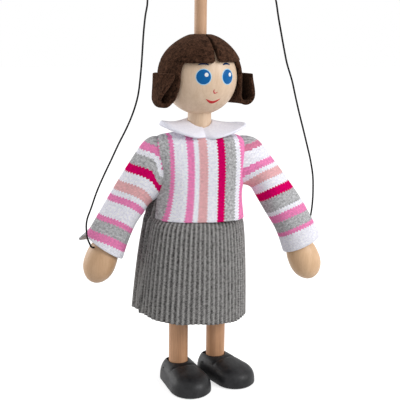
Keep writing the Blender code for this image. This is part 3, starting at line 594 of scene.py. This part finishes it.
def smooth_step(t):
    """A share held between 0 and 1, with its ends eased: three times its square less twice its cube."""
    t = np.clip(t, 0, 1)
    return t * t * (3 - 2 * t)


def bell(off, reach):
    """The bell curve: e to the power of minus the square of how many times its reach a point lies off."""
    return np.exp(-(off / reach) ** 2)


def grid(rows, columns):
    """Two parameters from 0 to 1: v down the rows and u along the columns."""
    return np.linspace(0, 1, rows)[:, None], np.linspace(0, 1, columns)[None, :]


def mirrored(points, side):
    """A left-hand grid, or its mirror image for the right with its columns turned round."""
    return points if side > 0 else points[:, ::-1] * (-1, 1, 1)


def hair_piece(piece, solid):
    """A finished piece of hair: felt that rides on the head, in place of the frame's solid, which is hidden.
    """
    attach(piece, "puppet_body")
    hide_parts(solid)


def cap_edge(side_name, around):
    """Height angle of the cap's lower edge: each half has its own, and both run into one at the back."""
    back = smooth_step((around - BACK_HAIR_START) / BACK_BLEND)
    return CAP_EDGES[side_name] + (BACK_EDGE - CAP_EDGES[side_name]) * back


hair_felt = felt("hair_felt", *HAIR_BROWN, sheen=0.2, tint=HAIR_SHEEN)
cap_radius = HEAD_RADIUS + GLUE_GAP + FELT
strip_radius = HEAD_RADIUS + STRIP_GAP + STRIP_FELT / 2
for side, side_name in SIDES:
    v, u = grid(20, 72)
    parting = (PARTING + PARTING_SPREAD * v ** PARTING_CURVE) / cap_radius
    around = math.pi * u ** CAP_CROWDING
    edge = cap_edge(side_name, around) + PARTING_CORNER * bell(around, PARTING_CORNER)
    up = FRINGE_TOP + (edge - FRINGE_TOP) * v
    dent = CAP_DENT * bell(up - CAP_DENT_UP, CAP_DENT_REACH) * smooth_step(around - CAP_DENT_START)
    lumps = CAP_LUMP * v * np.sin(9 * around + 2) * np.sin(8 * up + 1) - dent
    around = around + parting / np.cos(up) * (1 - (1 + PARTING_LAP) * u)
    points = mirrored(on_head(around, up, cap_radius + lumps), side)
    fringe = surface("hair_cap_" + side_name, points, hair_felt)
    thickened(fringe, FELT)
    hair_piece(fringe, "fringe_" + side_name)

    v, u = grid(56, 16)
    strip_top = strip_radius * math.sin(CAP_EDGES[side_name] - HAIR_SEAM / strip_radius)
    y = STRIP_FRONT + (STRIP_BACK - STRIP_FRONT) * u
    hung = np.sqrt(strip_radius ** 2 - y ** 2)
    flip = FLIP_SPREAD - FLIP_TAPER * smooth_step(y / STRIP_BACK)
    turn = (flip - hung) / 2
    back_lift = FLIP_BACK_LIFTS[side_name] * smooth_step(1.7 * u - 0.7)
    turn_z = -FLIP_DROPS[side_name] + STRIP_FELT / 2 + turn + back_lift
    down, bend, rise = strip_top - turn_z, math.pi * turn, FLIP_RISE - turn_z
    along = v * (down + bend + rise)
    angle = np.clip((along - down) / turn, 0, math.pi)
    risen = np.maximum(along - down - bend, 0)
    z = np.where(along < down, strip_top - along, turn_z - turn * np.sin(angle) + risen)
    on_ball = np.sqrt(strip_radius ** 2 - y ** 2 - np.maximum(z, 0) ** 2)
    lean_front, lean_back = FLIP_LEANS[side_name]
    lean = (lean_front + (lean_back - lean_front) * smooth_step(1.6 * u)) * (flip - hung - STRIP_FELT)
    lean = lean * smooth_step(risen / rise)
    x = np.where(along < down, on_ball, hung + turn - turn * np.cos(angle) - lean)
    low = smooth_step((FLIP_RISE - z) / (FLIP_RISE + FLIP_DROPS[side_name]))
    y = y + STRIP_SLANTS[side_name] * ((1 - u) * low) ** 2
    x = np.maximum(x, np.sqrt(strip_radius ** 2 - y ** 2 - z ** 2))
    points = mirrored(joined(x, y, z + HEAD_Z), side)
    strip = surface("hair_flip_strip_" + side_name, points, hair_felt)
    thickened(strip, STRIP_FELT, offset=0.0)
    hair_piece(strip, "hair_flip_" + side_name)

v, u = grid(16, 48)
around = BACK_HAIR_START + 2 * (math.pi - BACK_HAIR_START) * u
edges = [cap_edge(side_name, np.minimum(around, 2 * math.pi - around)) for side_name in ("left", "right")]
back_top = cap_radius * np.sin(np.where(u < 0.5, *edges) - HAIR_SEAM / cap_radius)
z = back_top - (back_top + BACK_HAIR_DROP) * v
level = np.sqrt(cap_radius ** 2 - np.maximum(z, 0) ** 2)
points = joined(level * np.sin(around), -level * np.cos(around), z + HEAD_Z)
fall = surface("hair_back_fall", points, hair_felt)
thickened(fall, FELT)
hair_piece(fall, "hair_back")


# The collar is one ring of white felt tight round the neck, slit at the front, where its two rounded ends
# droop over the chest. Its sides stand out over the shoulders, the right one rolled down at its tip, and
# its back stands up.
TORSO_TOP_Z = -118.5
COLLAR_TWIST = math.radians(-12)
COLLAR_FELT = 1.5
COLLAR_INNER = 6.5
COLLAR_FRONT = 17.8
COLLAR_TIPS = (25.8, 23.6)
COLLAR_INNER_RISE = (2.9, 6.2, 8.0)
COLLAR_OUTER_RISE = (-1.6, 4.8, 0.2)
COLLAR_SAG = 1.2
COLLAR_CURVE = 1.6
COLLAR_SLIT = math.radians(-1.2)
COLLAR_OVERLAP = 0.5
COLLAR_TIP_RISE = 2.0
COLLAR_ROLL = 4.0
COLLAR_ROLL_START = 0.8
COLLAR_TUCK = 0.12
COLLAR_ROLL_ANGLE = math.radians(275)
COLLAR_ROLL_REACH = math.radians(22)
COLLAR_CORNER = 3.4
COLLAR_CORNER_REACH = math.radians(11)
COLLAR_WHITE = ((0.80, 0.80, 0.90), (0.90, 0.90, 0.98))


def round_neck(values, angle):
    """Front, side and back values running into each other round the neck with the cosine's square."""
    front, side, back = values
    ahead = np.cos(angle)
    return side + (front - side) * np.maximum(ahead, 0) ** 2 + (back - side) * np.minimum(ahead, 0) ** 2


v, u = grid(16, 140)
angle = COLLAR_SLIT + 2 * (math.pi - COLLAR_SLIT) * u
from_slit = np.minimum(angle, 2 * math.pi - angle) - COLLAR_SLIT
sideways = np.sin(angle) ** 2
outer = COLLAR_FRONT + (np.where(angle < math.pi, *COLLAR_TIPS) - COLLAR_FRONT) * sideways
outer = outer - COLLAR_CORNER * bell(from_slit, COLLAR_CORNER_REACH)
near_tip = bell(angle - COLLAR_ROLL_ANGLE, COLLAR_ROLL_REACH)
rolled = near_tip * smooth_step((v - COLLAR_ROLL_START) / (1 - COLLAR_ROLL_START)) ** 2
reach = COLLAR_INNER + (v - COLLAR_TUCK * rolled) * (outer - COLLAR_INNER)
start, end = round_neck(COLLAR_INNER_RISE, angle), round_neck(COLLAR_OUTER_RISE, angle)
height = start + (end - start) * v ** COLLAR_CURVE - COLLAR_SAG * sideways * np.sin(math.pi * v)
height = height + near_tip * COLLAR_TIP_RISE * v - COLLAR_ROLL * rolled + COLLAR_OVERLAP * u
points = joined(reach * np.sin(angle), -reach * np.cos(angle), TORSO_TOP_Z + height)
collar_felt = felt("collar_felt", *COLLAR_WHITE, sheen=0.1, tint=(1, 1, 1, 1))
collar = surface("collar_ring", twisted(points, COLLAR_TWIST), collar_felt)
thickened(collar, COLLAR_FELT, rounds=1)
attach(collar, "puppet_body")
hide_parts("collar")


# The torso is a turned block inside the sweater, with steel pins through it for the arms and the legs.
# Cloth hides these solids and the arms' dowels, so they stay as they are and only get their finishes.
steel, steel_tree, steel_shader = material("pin_steel", 0.32)
steel_shader.inputs["Metallic"].default_value = 1.0
steel_spot = node(steel_tree, "TexCoord").outputs["Object"]
steel_marks = add(steel_tree, "TexNoise", Vector=steel_spot, Scale=900.0, Detail=4.0)
steel_tone = ramp(steel_tree, steel_marks, 0.2, (0.38, 0.38, 0.39), 0.8, (0.66, 0.66, 0.67))
steel_tree.links.new(steel_tone, steel_shader.inputs["Base Color"])
torso_wood = wood("torso_wood", *ROD_WOOD, grain=(1, 1, 0.06))
hidden_finishes = {"torso": torso_wood, "hip_pin": steel}
for side_name in STRING_ROUTES:
    hidden_finishes["arm_" + side_name] = torso_wood
    hidden_finishes["shoulder_pin_" + side_name] = steel
for node_name, finish in hidden_finishes.items():
    refinish(node_name, finish)


# The sweater is fine striped knit, cut with its stripes upright on the body and sewn into a boxy tube
# that closes under the collar; the sleeves are set into its sides.
SWEATER_SECTIONS = (
    (-0.2, 11.5, 9.8), (1.3, 18.5, 12.8), (2.8, 22.9, 15.2), (7, 24.2, 16.7), (16, 24.4, 17.5),
    (26, 24.2, 17.5), (34.5, 23.6, 17.6), (46.5, 24.8, 18.7),
)
SWEATER_POWER = 2.8
SWEATER_TOP_EASE = 0.8
SWEATER_SQUARING = 1.4
SQUARING_AT = 0.5
SQUARING_REACH = 0.16
SWEATER_CREASE = 0.35
KNIT = 1.2
STITCH_WIDE = 1.1
STITCH_HIGH = 0.9
STITCH_SLOPE = 1.3
STITCH_STEP = 0.45
STRIPE_TOOTH = 0.8
STRIPE_FUZZ = 0.6
STRIPE_LEAD = 10
STRIPE_COLOURS = {
    "grey": (0.50, 0.50, 0.51), "white": (0.93, 0.925, 1.0), "pink": (0.90, 0.26, 0.52),
    "salmon": (0.84, 0.46, 0.48), "magenta": (0.70, 0.002, 0.13), "rose": (0.70, 0.23, 0.36),
}
STRIPE_FLECK = 0.35
GREY_FLECK = 1.0
SWEATER_STRIPES = (
    ("pink", -22.6), ("grey", -17.4), ("pink", -15.2), ("white", -8.4), ("pink", -4.6), ("white", -2.1),
    ("salmon", 2.5), ("white", 7.8), ("magenta", 11.9), ("grey", 17.6), ("white", 20.3), ("pink", 24.4),
    ("grey", 40.0),
)
STRIPE_BOWS = (1.2, 0.35)
STRIPE_BOW_LEAN = 0.0036
STRIPE_BOW_DROP = 21.5
STRIPE_BOW_HALF = 22.0
STRIPE_BOW_SIDE = 8


def knit(name, stripes, axis):
    """Stockinette: bands of colour along one of the cloth's two directions, their edges stepped by the
    stitches, over rows of small V stitches that shade and raise the yarn, all fuzzed by loose fibres."""
    made, tree, shader = material(name, 1.0)
    cloth = add(tree, "UVMap", {"uv_map": "cloth"})
    spot = node(tree, "SeparateXYZ", Vector=cloth)
    column = maths(tree, "DIVIDE", spot.outputs[0], STITCH_WIDE)
    within = maths(tree, "ABSOLUTE", maths(tree, "SUBTRACT", maths(tree, "FRACT", column), 0.5))
    row = maths(tree, "DIVIDE", spot.outputs[1], STITCH_HIGH)
    row = maths(tree, "MULTIPLY_ADD", within, STITCH_SLOPE, row)
    leg = maths(tree, "SINE", maths(tree, "MULTIPLY", row, 2 * math.pi))
    groove = maths(tree, "SINE", maths(tree, "MULTIPLY", within, 2 * math.pi))
    yarn = maths(tree, "MULTIPLY_ADD", leg, 0.5, groove)
    fuzz = add(tree, "TexNoise", Vector=cloth, Scale=2.2, Detail=5.0, Roughness=0.7)
    heather = add(tree, "TexNoise", Vector=cloth, Scale=0.8, Detail=4.0, Roughness=0.6)
    tooth = maths(tree, "PINGPONG", spot.outputs[1 - axis], STRIPE_TOOTH)
    steps = ((tooth, 2 * STITCH_STEP / STRIPE_TOOTH), (fuzz, STRIPE_FUZZ), (spot.outputs[axis], 1.0))
    measure = maths(tree, "SUBTRACT", blend_of(tree, *steps), STITCH_STEP + STRIPE_FUZZ / 2)
    first = stripes[0][1] - STRIPE_LEAD
    span = stripes[-1][1] - first
    share = maths(tree, "DIVIDE", maths(tree, "SUBTRACT", measure, first), span)
    bands = node(tree, "ValToRGB", Fac=share)
    bands.color_ramp.interpolation = "CONSTANT"
    start = 0.0
    for i, (colour, end) in enumerate(stripes):
        element = bands.color_ramp.elements[0] if i == 0 else bands.color_ramp.elements.new(start)
        element.position = start
        element.color = (*STRIPE_COLOURS[colour], GREY_FLECK if colour == "grey" else STRIPE_FLECK)
        start = (end - first) / span
    bands.color_ramp.elements.remove(bands.color_ramp.elements[-1])
    melange = blend_of(tree, (fuzz, 1.6), (heather, 2.6), (1.0, -2.1))
    flecked = maths(tree, "MULTIPLY", melange, bands.outputs[1])
    shade = blend_of(tree, (flecked, 0.9), (yarn, 0.14), (1.0, 0.91))
    by_shade = {"data_type": "RGBA", "blend_type": "MULTIPLY"}
    tinted = node(tree, "Mix", by_shade, _0=1.0, _6=bands.outputs[0], _7=shade)
    tree.links.new(tinted.outputs[2], shader.inputs["Base Color"])
    relief(tree, shader, maths(tree, "ADD", yarn, fuzz), 0.7, 0.00025)
    return made


v, u = grid(64, 193)
u = u[:, :-1]
sections = through(SWEATER_SECTIONS, v[:, 0])
drop, half_width, half_depth = (sections[:, i, None] for i in range(3))
squaring = SWEATER_SQUARING * bell(v - SQUARING_AT, SQUARING_REACH)
power = 2 / (SWEATER_POWER - SWEATER_TOP_EASE * smooth_step(1 - 3 * v) + squaring)
angle = 2 * math.pi * u
across, deep = np.cos(angle), np.sin(angle)
x = half_width * np.sign(across) * np.abs(across) ** power
y = half_depth * np.sign(deep) * np.abs(deep) ** power
crease = SWEATER_CREASE * np.sin(3 * angle + 5 * v) * np.sin(9 * angle + 2.2) * smooth_step(2 * v - 0.4)
x, y = x + crease * across, y + crease * deep
points = joined(x, y, TORSO_TOP_Z - drop)
bow_below = STRIPE_BOWS[1] + STRIPE_BOW_LEAN * np.maximum(STRIPE_BOW_SIDE - x, 0) ** 2
bow = np.where(drop < STRIPE_BOW_DROP, STRIPE_BOWS[0], bow_below)
measured = x + bow * ((drop - STRIPE_BOW_DROP) / STRIPE_BOW_HALF) ** 2
uv = joined(measured, drop)
uv = np.concatenate((uv, uv[:, :1]), axis=1)
sweater_knit = knit("sweater_knit", SWEATER_STRIPES, 0)
sweater = surface("sweater_body", twisted(points, GARMENT_TWIST), sweater_knit, uv, wrap=True)
thickened(sweater, KNIT, rounds=1)
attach(sweater, "puppet_body")
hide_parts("sweater")


# The skirt is a tube of heavy grey rib knit from the waist to below the knee, wider at its hem,
# with its side gathered into one deep fold on the puppet's right.
SKIRT_SECTIONS = (
    (0, 22.4, 15.9), (0.1, 22.4, 15.9), (0.13, 24.9, 17.7), (0.2, 26.7, 18.9),
    (0.45, 28.5, 21.2), (0.72, 29.7, 23.2), (1, 30.6, 24.8),
)
SKIRT_WAIST_DROP = 39.5
SKIRT_LENGTH = 62.5
SKIRT_LEAN = -2.85
SKIRT_KNIT = 1.5
HEM_SLOPE = 0.08
HEM_WAVES = (0.35, 0.2)
PLEAT_CROWDING = 0.765
PLEAT_ANGLE = math.radians(151)
PLEAT_WIDTH = math.radians(10)
PLEAT_DEPTH = 5.0
PLEAT_START = -0.02
PLEAT_GROWTH = 9
PLEAT_WAIST_REACH = math.radians(26)
PLEAT_WAIST_END = 0.2
PLEAT_WAIST_WIDTH = 26.7
PLEAT_WAIST_FILL = 0.7
PLEAT_RISE = 4.0
FOLD_ANGLES = (math.radians(161), math.radians(171))
FOLD_WIDTH = math.radians(2.6)
FOLD_DEPTH = 5.0
FOLD_LIP = 1.8
FOLD_LIP_OFF = 2.6
RIBS = 60
RIB_HEIGHT = 0.75
RIB_COLUMNS = 12
RIB_POWER = 2.5
RIB_SPREAD = (28, 21)
RIB_STITCH = 0.95
RIB_STITCH_SLOPE = 1.6
# The wool's dark and pale greys; the dark end also paints the shade between the ribs, the pale end the
# highlight on their ridges.
SKIRT_GREY = ((0.060, 0.058, 0.056), (0.36, 0.352, 0.345))


def rib_wool(name, dark, pale):
    """Rib knit: flecked grey wool in rows of stitches, each rib's ridge painted pale as a painted highlight
    and the hollow between ribs painted dark as painted shade.
    """
    made, tree, shader = material(name, 1.0)
    spot = node(tree, "SeparateXYZ", Vector=add(tree, "UVMap", {"uv_map": "cloth"}))
    within = maths(tree, "ABSOLUTE", maths(tree, "SUBTRACT", maths(tree, "FRACT", spot.outputs[0]), 0.5))
    # Painted highlight and shade: one on each rib's ridge, nought in the hollow between ribs.
    ridge_lit_hollow_shaded = maths(tree, "POWER", maths(tree, "COSINE", maths(tree, "MULTIPLY", within, math.pi)), 3.0)
    object_spot = node(tree, "TexCoord").outputs["Object"]
    fleck = add(tree, "TexNoise", Vector=object_spot, Scale=800.0, Detail=4.0, Roughness=0.8)
    row = maths(tree, "DIVIDE", spot.outputs[1], RIB_STITCH)
    row = maths(tree, "MULTIPLY_ADD", within, RIB_STITCH_SLOPE, row)
    stitch = maths(tree, "SINE", maths(tree, "MULTIPLY", row, 2 * math.pi))
    tone = blend_of(tree, (ridge_lit_hollow_shaded, 0.47), (fleck, 2.1), (stitch, 0.06), (1.0, -0.54))
    tree.links.new(ramp(tree, tone, 0.28, dark, 1.0, pale), shader.inputs["Base Color"])
    relief(tree, shader, blend_of(tree, (stitch, 0.5), (fleck, 1.0)), 0.7, 0.0003)
    return made


v, u = grid(44, RIBS * RIB_COLUMNS + 1)
turn = 2 * math.pi * u
angle = PLEAT_ANGLE + turn - PLEAT_CROWDING * np.sin(turn)
off = (angle - PLEAT_ANGLE + math.pi) % (2 * math.pi) - math.pi
sections = through(SKIRT_SECTIONS, v[:, 0])
share, half_width, half_depth = (sections[:, i, None] for i in range(3))
fold_at = FOLD_ANGLES[0] + (FOLD_ANGLES[1] - FOLD_ANGLES[0]) * share ** 2
fold_off = (angle - fold_at + math.pi) % (2 * math.pi) - math.pi
grown = smooth_step(PLEAT_GROWTH * (share - PLEAT_START))
near_pleat = bell(off, PLEAT_WAIST_REACH)
loose = near_pleat * np.maximum(PLEAT_WAIST_WIDTH - half_width, 0)
loose = loose * (share < PLEAT_WAIST_END) * PLEAT_WAIST_FILL
half_width, half_depth = half_width + loose, half_depth + loose
pleat = PLEAT_DEPTH * grown * bell(off, PLEAT_WIDTH)
pleat = pleat - FOLD_DEPTH * grown * bell(fold_off, FOLD_WIDTH)
pleat = pleat + FOLD_LIP * grown * bell(fold_off - FOLD_LIP_OFF * FOLD_WIDTH, FOLD_WIDTH)
rib_across, rib_deep = RIB_SPREAD
spacing = np.hypot(rib_across * np.sin(angle[0]), rib_deep * np.cos(angle[0])) * np.gradient(angle[0])
count = np.concatenate(([0], np.cumsum(0.5 * (spacing[1:] + spacing[:-1]))))
ribs_at = RIBS * count / count[-1]
rib = RIB_HEIGHT * np.abs(np.cos(math.pi * (ribs_at - 0.5))) ** RIB_POWER * smooth_step(share * 8 - 0.4)
x = (half_width + pleat + rib) * np.cos(angle) + SKIRT_LEAN * share
y = (half_depth + pleat + rib) * np.sin(angle)
wavy = HEM_WAVES[0] * np.sin(5 * angle + 1.0) + HEM_WAVES[1] * np.sin(11 * angle)
drop = share * (SKIRT_LENGTH + HEM_SLOPE * x + wavy)
drop = drop - PLEAT_RISE * near_pleat * smooth_step(1 - 6 * share)
points = joined(x, y, TORSO_TOP_Z - SKIRT_WAIST_DROP - drop)[:, :-1]
uv = joined(ribs_at[None, :], share * SKIRT_LENGTH)
skirt_wool = rib_wool("skirt_wool", *SKIRT_GREY)
skirt = surface("skirt_tube", points, skirt_wool, uv, wrap=True)
thickened(skirt, SKIRT_KNIT, rounds=0)
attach(skirt, "puppet_body")
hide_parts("skirt")


# Each sleeve is the same knit with its stripes running round it, sewn full at the shoulder and left
# open at the cuff, where the hand hangs out. The right cuff is turned out at its outer edge.
SHOULDER_HALF_SPAN = 25.5
SHOULDER_Z = -134.5
SLEEVE_SECTIONS = {
    "left": (
        (-5.3, -13.2, -5, 13.5, 13.2), (0, -13.4, 1.2, 13.7, 13.5), (4, -15.3, 7.4, 11.1, 12.9),
        (7.4, -20.8, 14.1, 3, 11.7), (12.5, -29.2, 22.8, -8.2, 10.9), (19.1, -40.1, 33.8, -23.6, 10.2),
        (23.8, -52.8, 44.7, -42.6, 10),
    ),
    "right": (
        (-7, -15.5, -5, 13.5, 13.6), (-3, -19.5, 0.5, 13.5, 13.9), (1.5, -23, 5.5, 9.9, 13.2),
        (5.2, -28.4, 12, 0.5, 11.9), (9.3, -34.5, 20.7, -13.3, 11), (13.4, -43.9, 29.4, -28, 10.2),
        (16.7, -54, 36.6, -40.4, 9.8),
    ),
}
SLEEVE_AXES = {"left": (math.radians(23), 57.3), "right": (math.radians(26.3), 56.3)}
SLEEVE_BAND_BOWS = {"left": (2.6, 1.4), "right": (4.6, 1.9)}
SLEEVE_BAND_DROPS = {"left": 1.5, "right": 5.0}
SLEEVE_HEAD_DROPS = {"left": 0.0, "right": 7.0}
SLEEVE_HEAD_MIDDLE = -0.09
SLEEVE_HEAD_REACH = 0.42
SLEEVE_GIRTH = 60
SLEEVE_CREASE = 0.3
CUFF_FLARES = {"left": 0.0, "right": 6.6}
CUFF_FLARE_ANGLE = 0.7
CUFF_FLARE_REACH = 0.35
CUFF_FLARE_DROP = 0.35
CUFF_FLAP_GREY_AT = 12.0
SLEEVE_STRIPES = {
    "right": (
        ("white", 4.1), ("pink", 8.7), ("grey", 15.4), ("pink", 18.4), ("white", 27.2), ("pink", 31.1),
        ("white", 34.1), ("salmon", 39.6), ("white", 45.6), ("magenta", 50.3), ("grey", 56.8),
        ("white", 59.8), ("pink", 64.2), ("grey", 90.0),
    ),
    "left": (
        ("white", 8.6), ("pink", 11.2), ("grey", 17.6), ("pink", 22.5), ("white", 25.0), ("grey", 32.6),
        ("magenta", 37.8), ("white", 43.0), ("salmon", 48.2), ("white", 50.4), ("pink", 54.6),
        ("white", 62.0), ("rose", 65.6), ("grey", 90.0),
    ),
}

for side, side_name in SIDES:
    v, u = grid(64, 97)
    sections = through(SLEEVE_SECTIONS[side_name], v[:, 0])
    under, over, depth = sections[:, None, 0:2], sections[:, None, 2:4], sections[:, None, 4]
    angle = 2 * math.pi * u
    flare = bell(angle - CUFF_FLARE_ANGLE, CUFF_FLARE_REACH) * smooth_step(10 * v - 9)
    flare = CUFF_FLARES[side_name] * flare
    flat_point = (under + over) / 2 + (over - under) / 2 * np.cos(angle)[..., None]
    crease = SLEEVE_CREASE * np.sin(2 * angle + 9 * v) * smooth_step(4 * v - 0.8) * smooth_step(4 - 4 * v)
    x = flat_point[..., 0] + flare + SHOULDER_HALF_SPAN
    y = (depth + crease) * np.sin(angle)
    z = flat_point[..., 1] - CUFF_FLARE_DROP * flare + SHOULDER_Z
    points = twisted(mirrored(joined(x, y, z)[:, :-1], side), GARMENT_TWIST)
    lean, cuff_at = SLEEVE_AXES[side_name]
    from_cuff = cuff_at - flat_point @ (math.sin(lean), -math.cos(lean))
    bow_top, bow_cuff = SLEEVE_BAND_BOWS[side_name]
    from_cuff = from_cuff - (bow_top + (bow_cuff - bow_top) * v) * np.sin(angle) ** 2
    from_cuff = from_cuff + SLEEVE_BAND_DROPS[side_name] * np.sin(angle / 2) ** 4 * smooth_step(1 - 1.6 * v)
    middle = bell(np.cos(angle) - SLEEVE_HEAD_MIDDLE, SLEEVE_HEAD_REACH)
    from_cuff = from_cuff + SLEEVE_HEAD_DROPS[side_name] * middle * smooth_step(1.6 - 6 * v)
    # The turned-out flap is coloured as the grey stripe.
    from_cuff = from_cuff + (CUFF_FLAP_GREY_AT - from_cuff) * smooth_step(2 * flare - 1)
    uv = joined(SLEEVE_GIRTH * u, from_cuff)[:, ::side]
    sleeve_knit = knit("sleeve_knit_" + side_name, SLEEVE_STRIPES[side_name], 1)
    sleeve = surface("sleeve_tube_" + side_name, points, sleeve_knit, uv, wrap=True)
    thickened(sleeve, KNIT, rounds=1)
    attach(sleeve, side_name + "_arm")
    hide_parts("sleeve_" + side_name)


# Each hand is a turned egg of pale wood, blunt at the wrist, glued on the end of the arm's dowel.
# The right one, nearer the camera, is painted darker as painted shade, and the left one paler as painted
# light.
ARM_ANGLES = {"left": math.radians(32.2), "right": math.radians(27.6)}
HAND_REACHES = {"left": 67.7, "right": 62.7}
HAND_RADIUS = 8.9
HAND_HALF = 12.5
WRIST_POWER = 2.6
FINGER_POWER = 2.0
HAND_DROOP = math.radians(8)
# One wood in two tones: the right hand's darker copy is painted shade, the left hand's paler copy painted
# light.
HAND_WOODS_LIT_AND_SHADED = {
    "left": ((0.60, 0.375, 0.21), (0.76, 0.51, 0.31)),
    "right": ((0.49, 0.295, 0.16), (0.62, 0.405, 0.245)),
}

for side, side_name in SIDES:
    t = np.linspace(0, math.pi, 44)
    height = np.cos(t)
    power = WRIST_POWER + (FINGER_POWER - WRIST_POWER) * smooth_step(0.5 - height / 2)
    radius = HAND_RADIUS * np.maximum(1 - np.abs(height) ** power, 0) ** (1 / power)
    profile = joined(radius, HAND_HALF * height)
    arm, arm_reach = ARM_ANGLES[side_name], HAND_REACHES[side_name]

    def hung_out(points):
        """The egg leaned out by the arm's angle less its droop, set at the arm's end and twisted with the
        garment."""
        lean = side * (arm - HAND_DROOP)
        x = points[..., 0] * math.cos(lean) - points[..., 2] * math.sin(lean)
        z = points[..., 0] * math.sin(lean) + points[..., 2] * math.cos(lean)
        x = x + side * (SHOULDER_HALF_SPAN + arm_reach * math.sin(arm))
        z = z + SHOULDER_Z - arm_reach * math.cos(arm)
        return twisted(joined(x, points[..., 1], z), GARMENT_TWIST)

    # Each hand takes its own tone of the wood: painted shade on the right, painted light on the left.
    hand_wood_painted_light_shade = wood("hand_wood_painted_light_shade_" + side_name, *HAND_WOODS_LIT_AND_SHADED[side_name], grain=(1, 1, 0.12), roughness=0.45)
    hand = lathe("hand_egg_" + side_name, profile, 64, hand_wood_painted_light_shade, hung_out)
    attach(hand, side_name + "_arm")
    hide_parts("hand_" + side_name)


# Each leg is a plain round stick with rounded ends, hung on the hip pin and standing in its shoe.
# Its wood is browner than the hands', with the grain running down it.
LEG_RADIUS = 5.4
LEG_SPACING = 23.5
HIP_Z = -170.0
ANKLE_Z = -252.9
LEG_WOOD = ((0.38, 0.19, 0.095), (0.64, 0.35, 0.19))

leg_wood = wood("leg_wood", *LEG_WOOD, grain=(1, 1, 0.035))
for side, side_name in SIDES:
    profile = rounded(LEG_RADIUS, HIP_Z + LEG_RADIUS, ANKLE_Z - LEG_RADIUS, LEG_RADIUS, 10)

    def at_hip(points):
        """The stick set out to its own side of the body."""
        return points + (side * LEG_SPACING / 2, 0, 0)

    leg = lathe("leg_stick_" + side_name, profile, 48, leg_wood, at_hip)
    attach(leg, side_name + "_leg")
    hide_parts("leg_" + side_name)


# Each shoe is carved from one block and painted black: a round-ended sole, a domed toe, and a long hole
# that lets the leg rock back on the ankle pin.
HEEL_RADIUS = 10.5
TOE_RADIUS = 11.6
SHOE_REACH = 17.1
SHOE_HEIGHT = 12.4
SHOE_ROUNDNESS = 2.8
SHOE_FALL = 0.10
SOLE_BEVEL = 0.8
CREASE_Y = -8.5
CREASE_HALF = 0.7
CREASE_DEPTH = 0.5
ANKLE_HEIGHT = 7.2
TOE_OUTS = {"left": math.radians(14), "right": 0.0}
SOCKET_RADIUS = 5.85
SOCKET_LIP = 0.4
HEEL_ROOM = 2.6
SOCKET_DEPTH = 10.9


def shoe_paint(name):
    """Black paint on carved wood: near black, rubbed grey in places, with fine brush marks in its gloss."""
    made, tree, shader = material(name, 0.45, 0.3)
    spot = node(tree, "TexCoord").outputs["Object"]
    worn = add(tree, "TexNoise", Vector=spot, Scale=160.0, Detail=5.0, Roughness=0.65)
    brushed = add(tree, "Mapping", Vector=spot, Scale=(1, 0.2, 1))
    marks = add(tree, "TexNoise", Vector=brushed, Scale=900.0, Detail=4.0)
    tone = ramp(tree, worn, 0.40, (0.006, 0.006, 0.007), 0.85, (0.030, 0.030, 0.033))
    tree.links.new(tone, shader.inputs["Base Color"])
    gloss = maths(tree, "MULTIPLY_ADD", marks, 0.35, 0.28)
    tree.links.new(gloss, shader.inputs["Roughness"])
    relief(tree, shader, marks, 0.3, 0.00015)
    return made


def stadium(share):
    """One ring of the shoe, drawn in to a share of its outline: half a circle round the heel and half round
    the toe."""
    radius = share * np.where(heel, HEEL_RADIUS, TOE_RADIUS)
    return joined(radius * np.cos(ring_angle), radius * np.sin(ring_angle) - np.where(heel, 0, SHOE_REACH))


def socket_ring(radius):
    """One ring of the leg's hole: round in front, drawn out behind."""
    return joined(radius * np.cos(ring_angle), radius * np.sin(ring_angle) + np.where(heel, HEEL_ROOM, 0))


def dome(ring):
    """A ring laid on the shoe's top: its height over a point is the roundness power's curve of how far the
    point lies from the line between heel and toe, times a height that falls to the toe, less the crease."""
    x, y = ring[..., 0], ring[..., 1]
    beyond = np.where(y > 0, y, np.minimum(y + SHOE_REACH, 0))
    radius = HEEL_RADIUS + (TOE_RADIUS - HEEL_RADIUS) * np.clip(-y / SHOE_REACH, 0, 1)
    out = np.clip(np.hypot(x, beyond) / radius, 0, 1)
    curve = (1 - out ** SHOE_ROUNDNESS) ** (1 / SHOE_ROUNDNESS)
    crease = CREASE_DEPTH * bell(y - CREASE_Y, CREASE_HALF)
    z = curve * (SHOE_HEIGHT * (1 + SHOE_FALL * y / HEEL_RADIUS * curve) - crease)
    return np.concatenate((ring, np.maximum(z, SOLE_BEVEL)[..., None]), axis=-1)


def at_height(ring, z):
    """A flat ring at one height."""
    return np.concatenate((ring, np.full((len(ring), 1), z)), axis=-1)


shoe_black = shoe_paint("shoe_black")
half_turn = np.linspace(0, math.pi, 33)
ring_angle = np.concatenate((half_turn, half_turn + math.pi))
heel = np.arange(len(ring_angle)) < len(half_turn)
rings = [at_height(stadium(share), 0) for share in (0.001, 0.5, 1 - SOLE_BEVEL / HEEL_RADIUS)]
outline, rim = stadium(1), socket_ring(SOCKET_RADIUS + SOCKET_LIP)
rings += [dome(outline + (rim - outline) * (1 - math.cos(t))) for t in np.linspace(0, math.pi / 2, 56)]
lip = dome(socket_ring(SOCKET_RADIUS))
rings += [lip - (0, 0, sunk) for sunk in (0.15, 0.5)]
floor_z = SHOE_HEIGHT - SOCKET_DEPTH
rings += [lip * (1, 1, 1 - share) + (0, 0, floor_z * share) for share in np.linspace(0.2, 1, 6)]
rings += [at_height(socket_ring(0.01), floor_z)]
shoe_points = np.stack(rings) - (0, 0, ANKLE_HEIGHT)
for side, side_name in SIDES:
    points = twisted(shoe_points, side * TOE_OUTS[side_name]) + (side * LEG_SPACING / 2, 0, ANKLE_Z)
    shoe = surface("shoe_block_" + side_name, points, shoe_black, wrap=True, weld=0.05)
    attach(shoe, side_name + "_foot")
    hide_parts("shoe_" + side_name)
    refinish("ankle_pin_" + side_name, shoe_black)


bpy.context.view_layer.update()
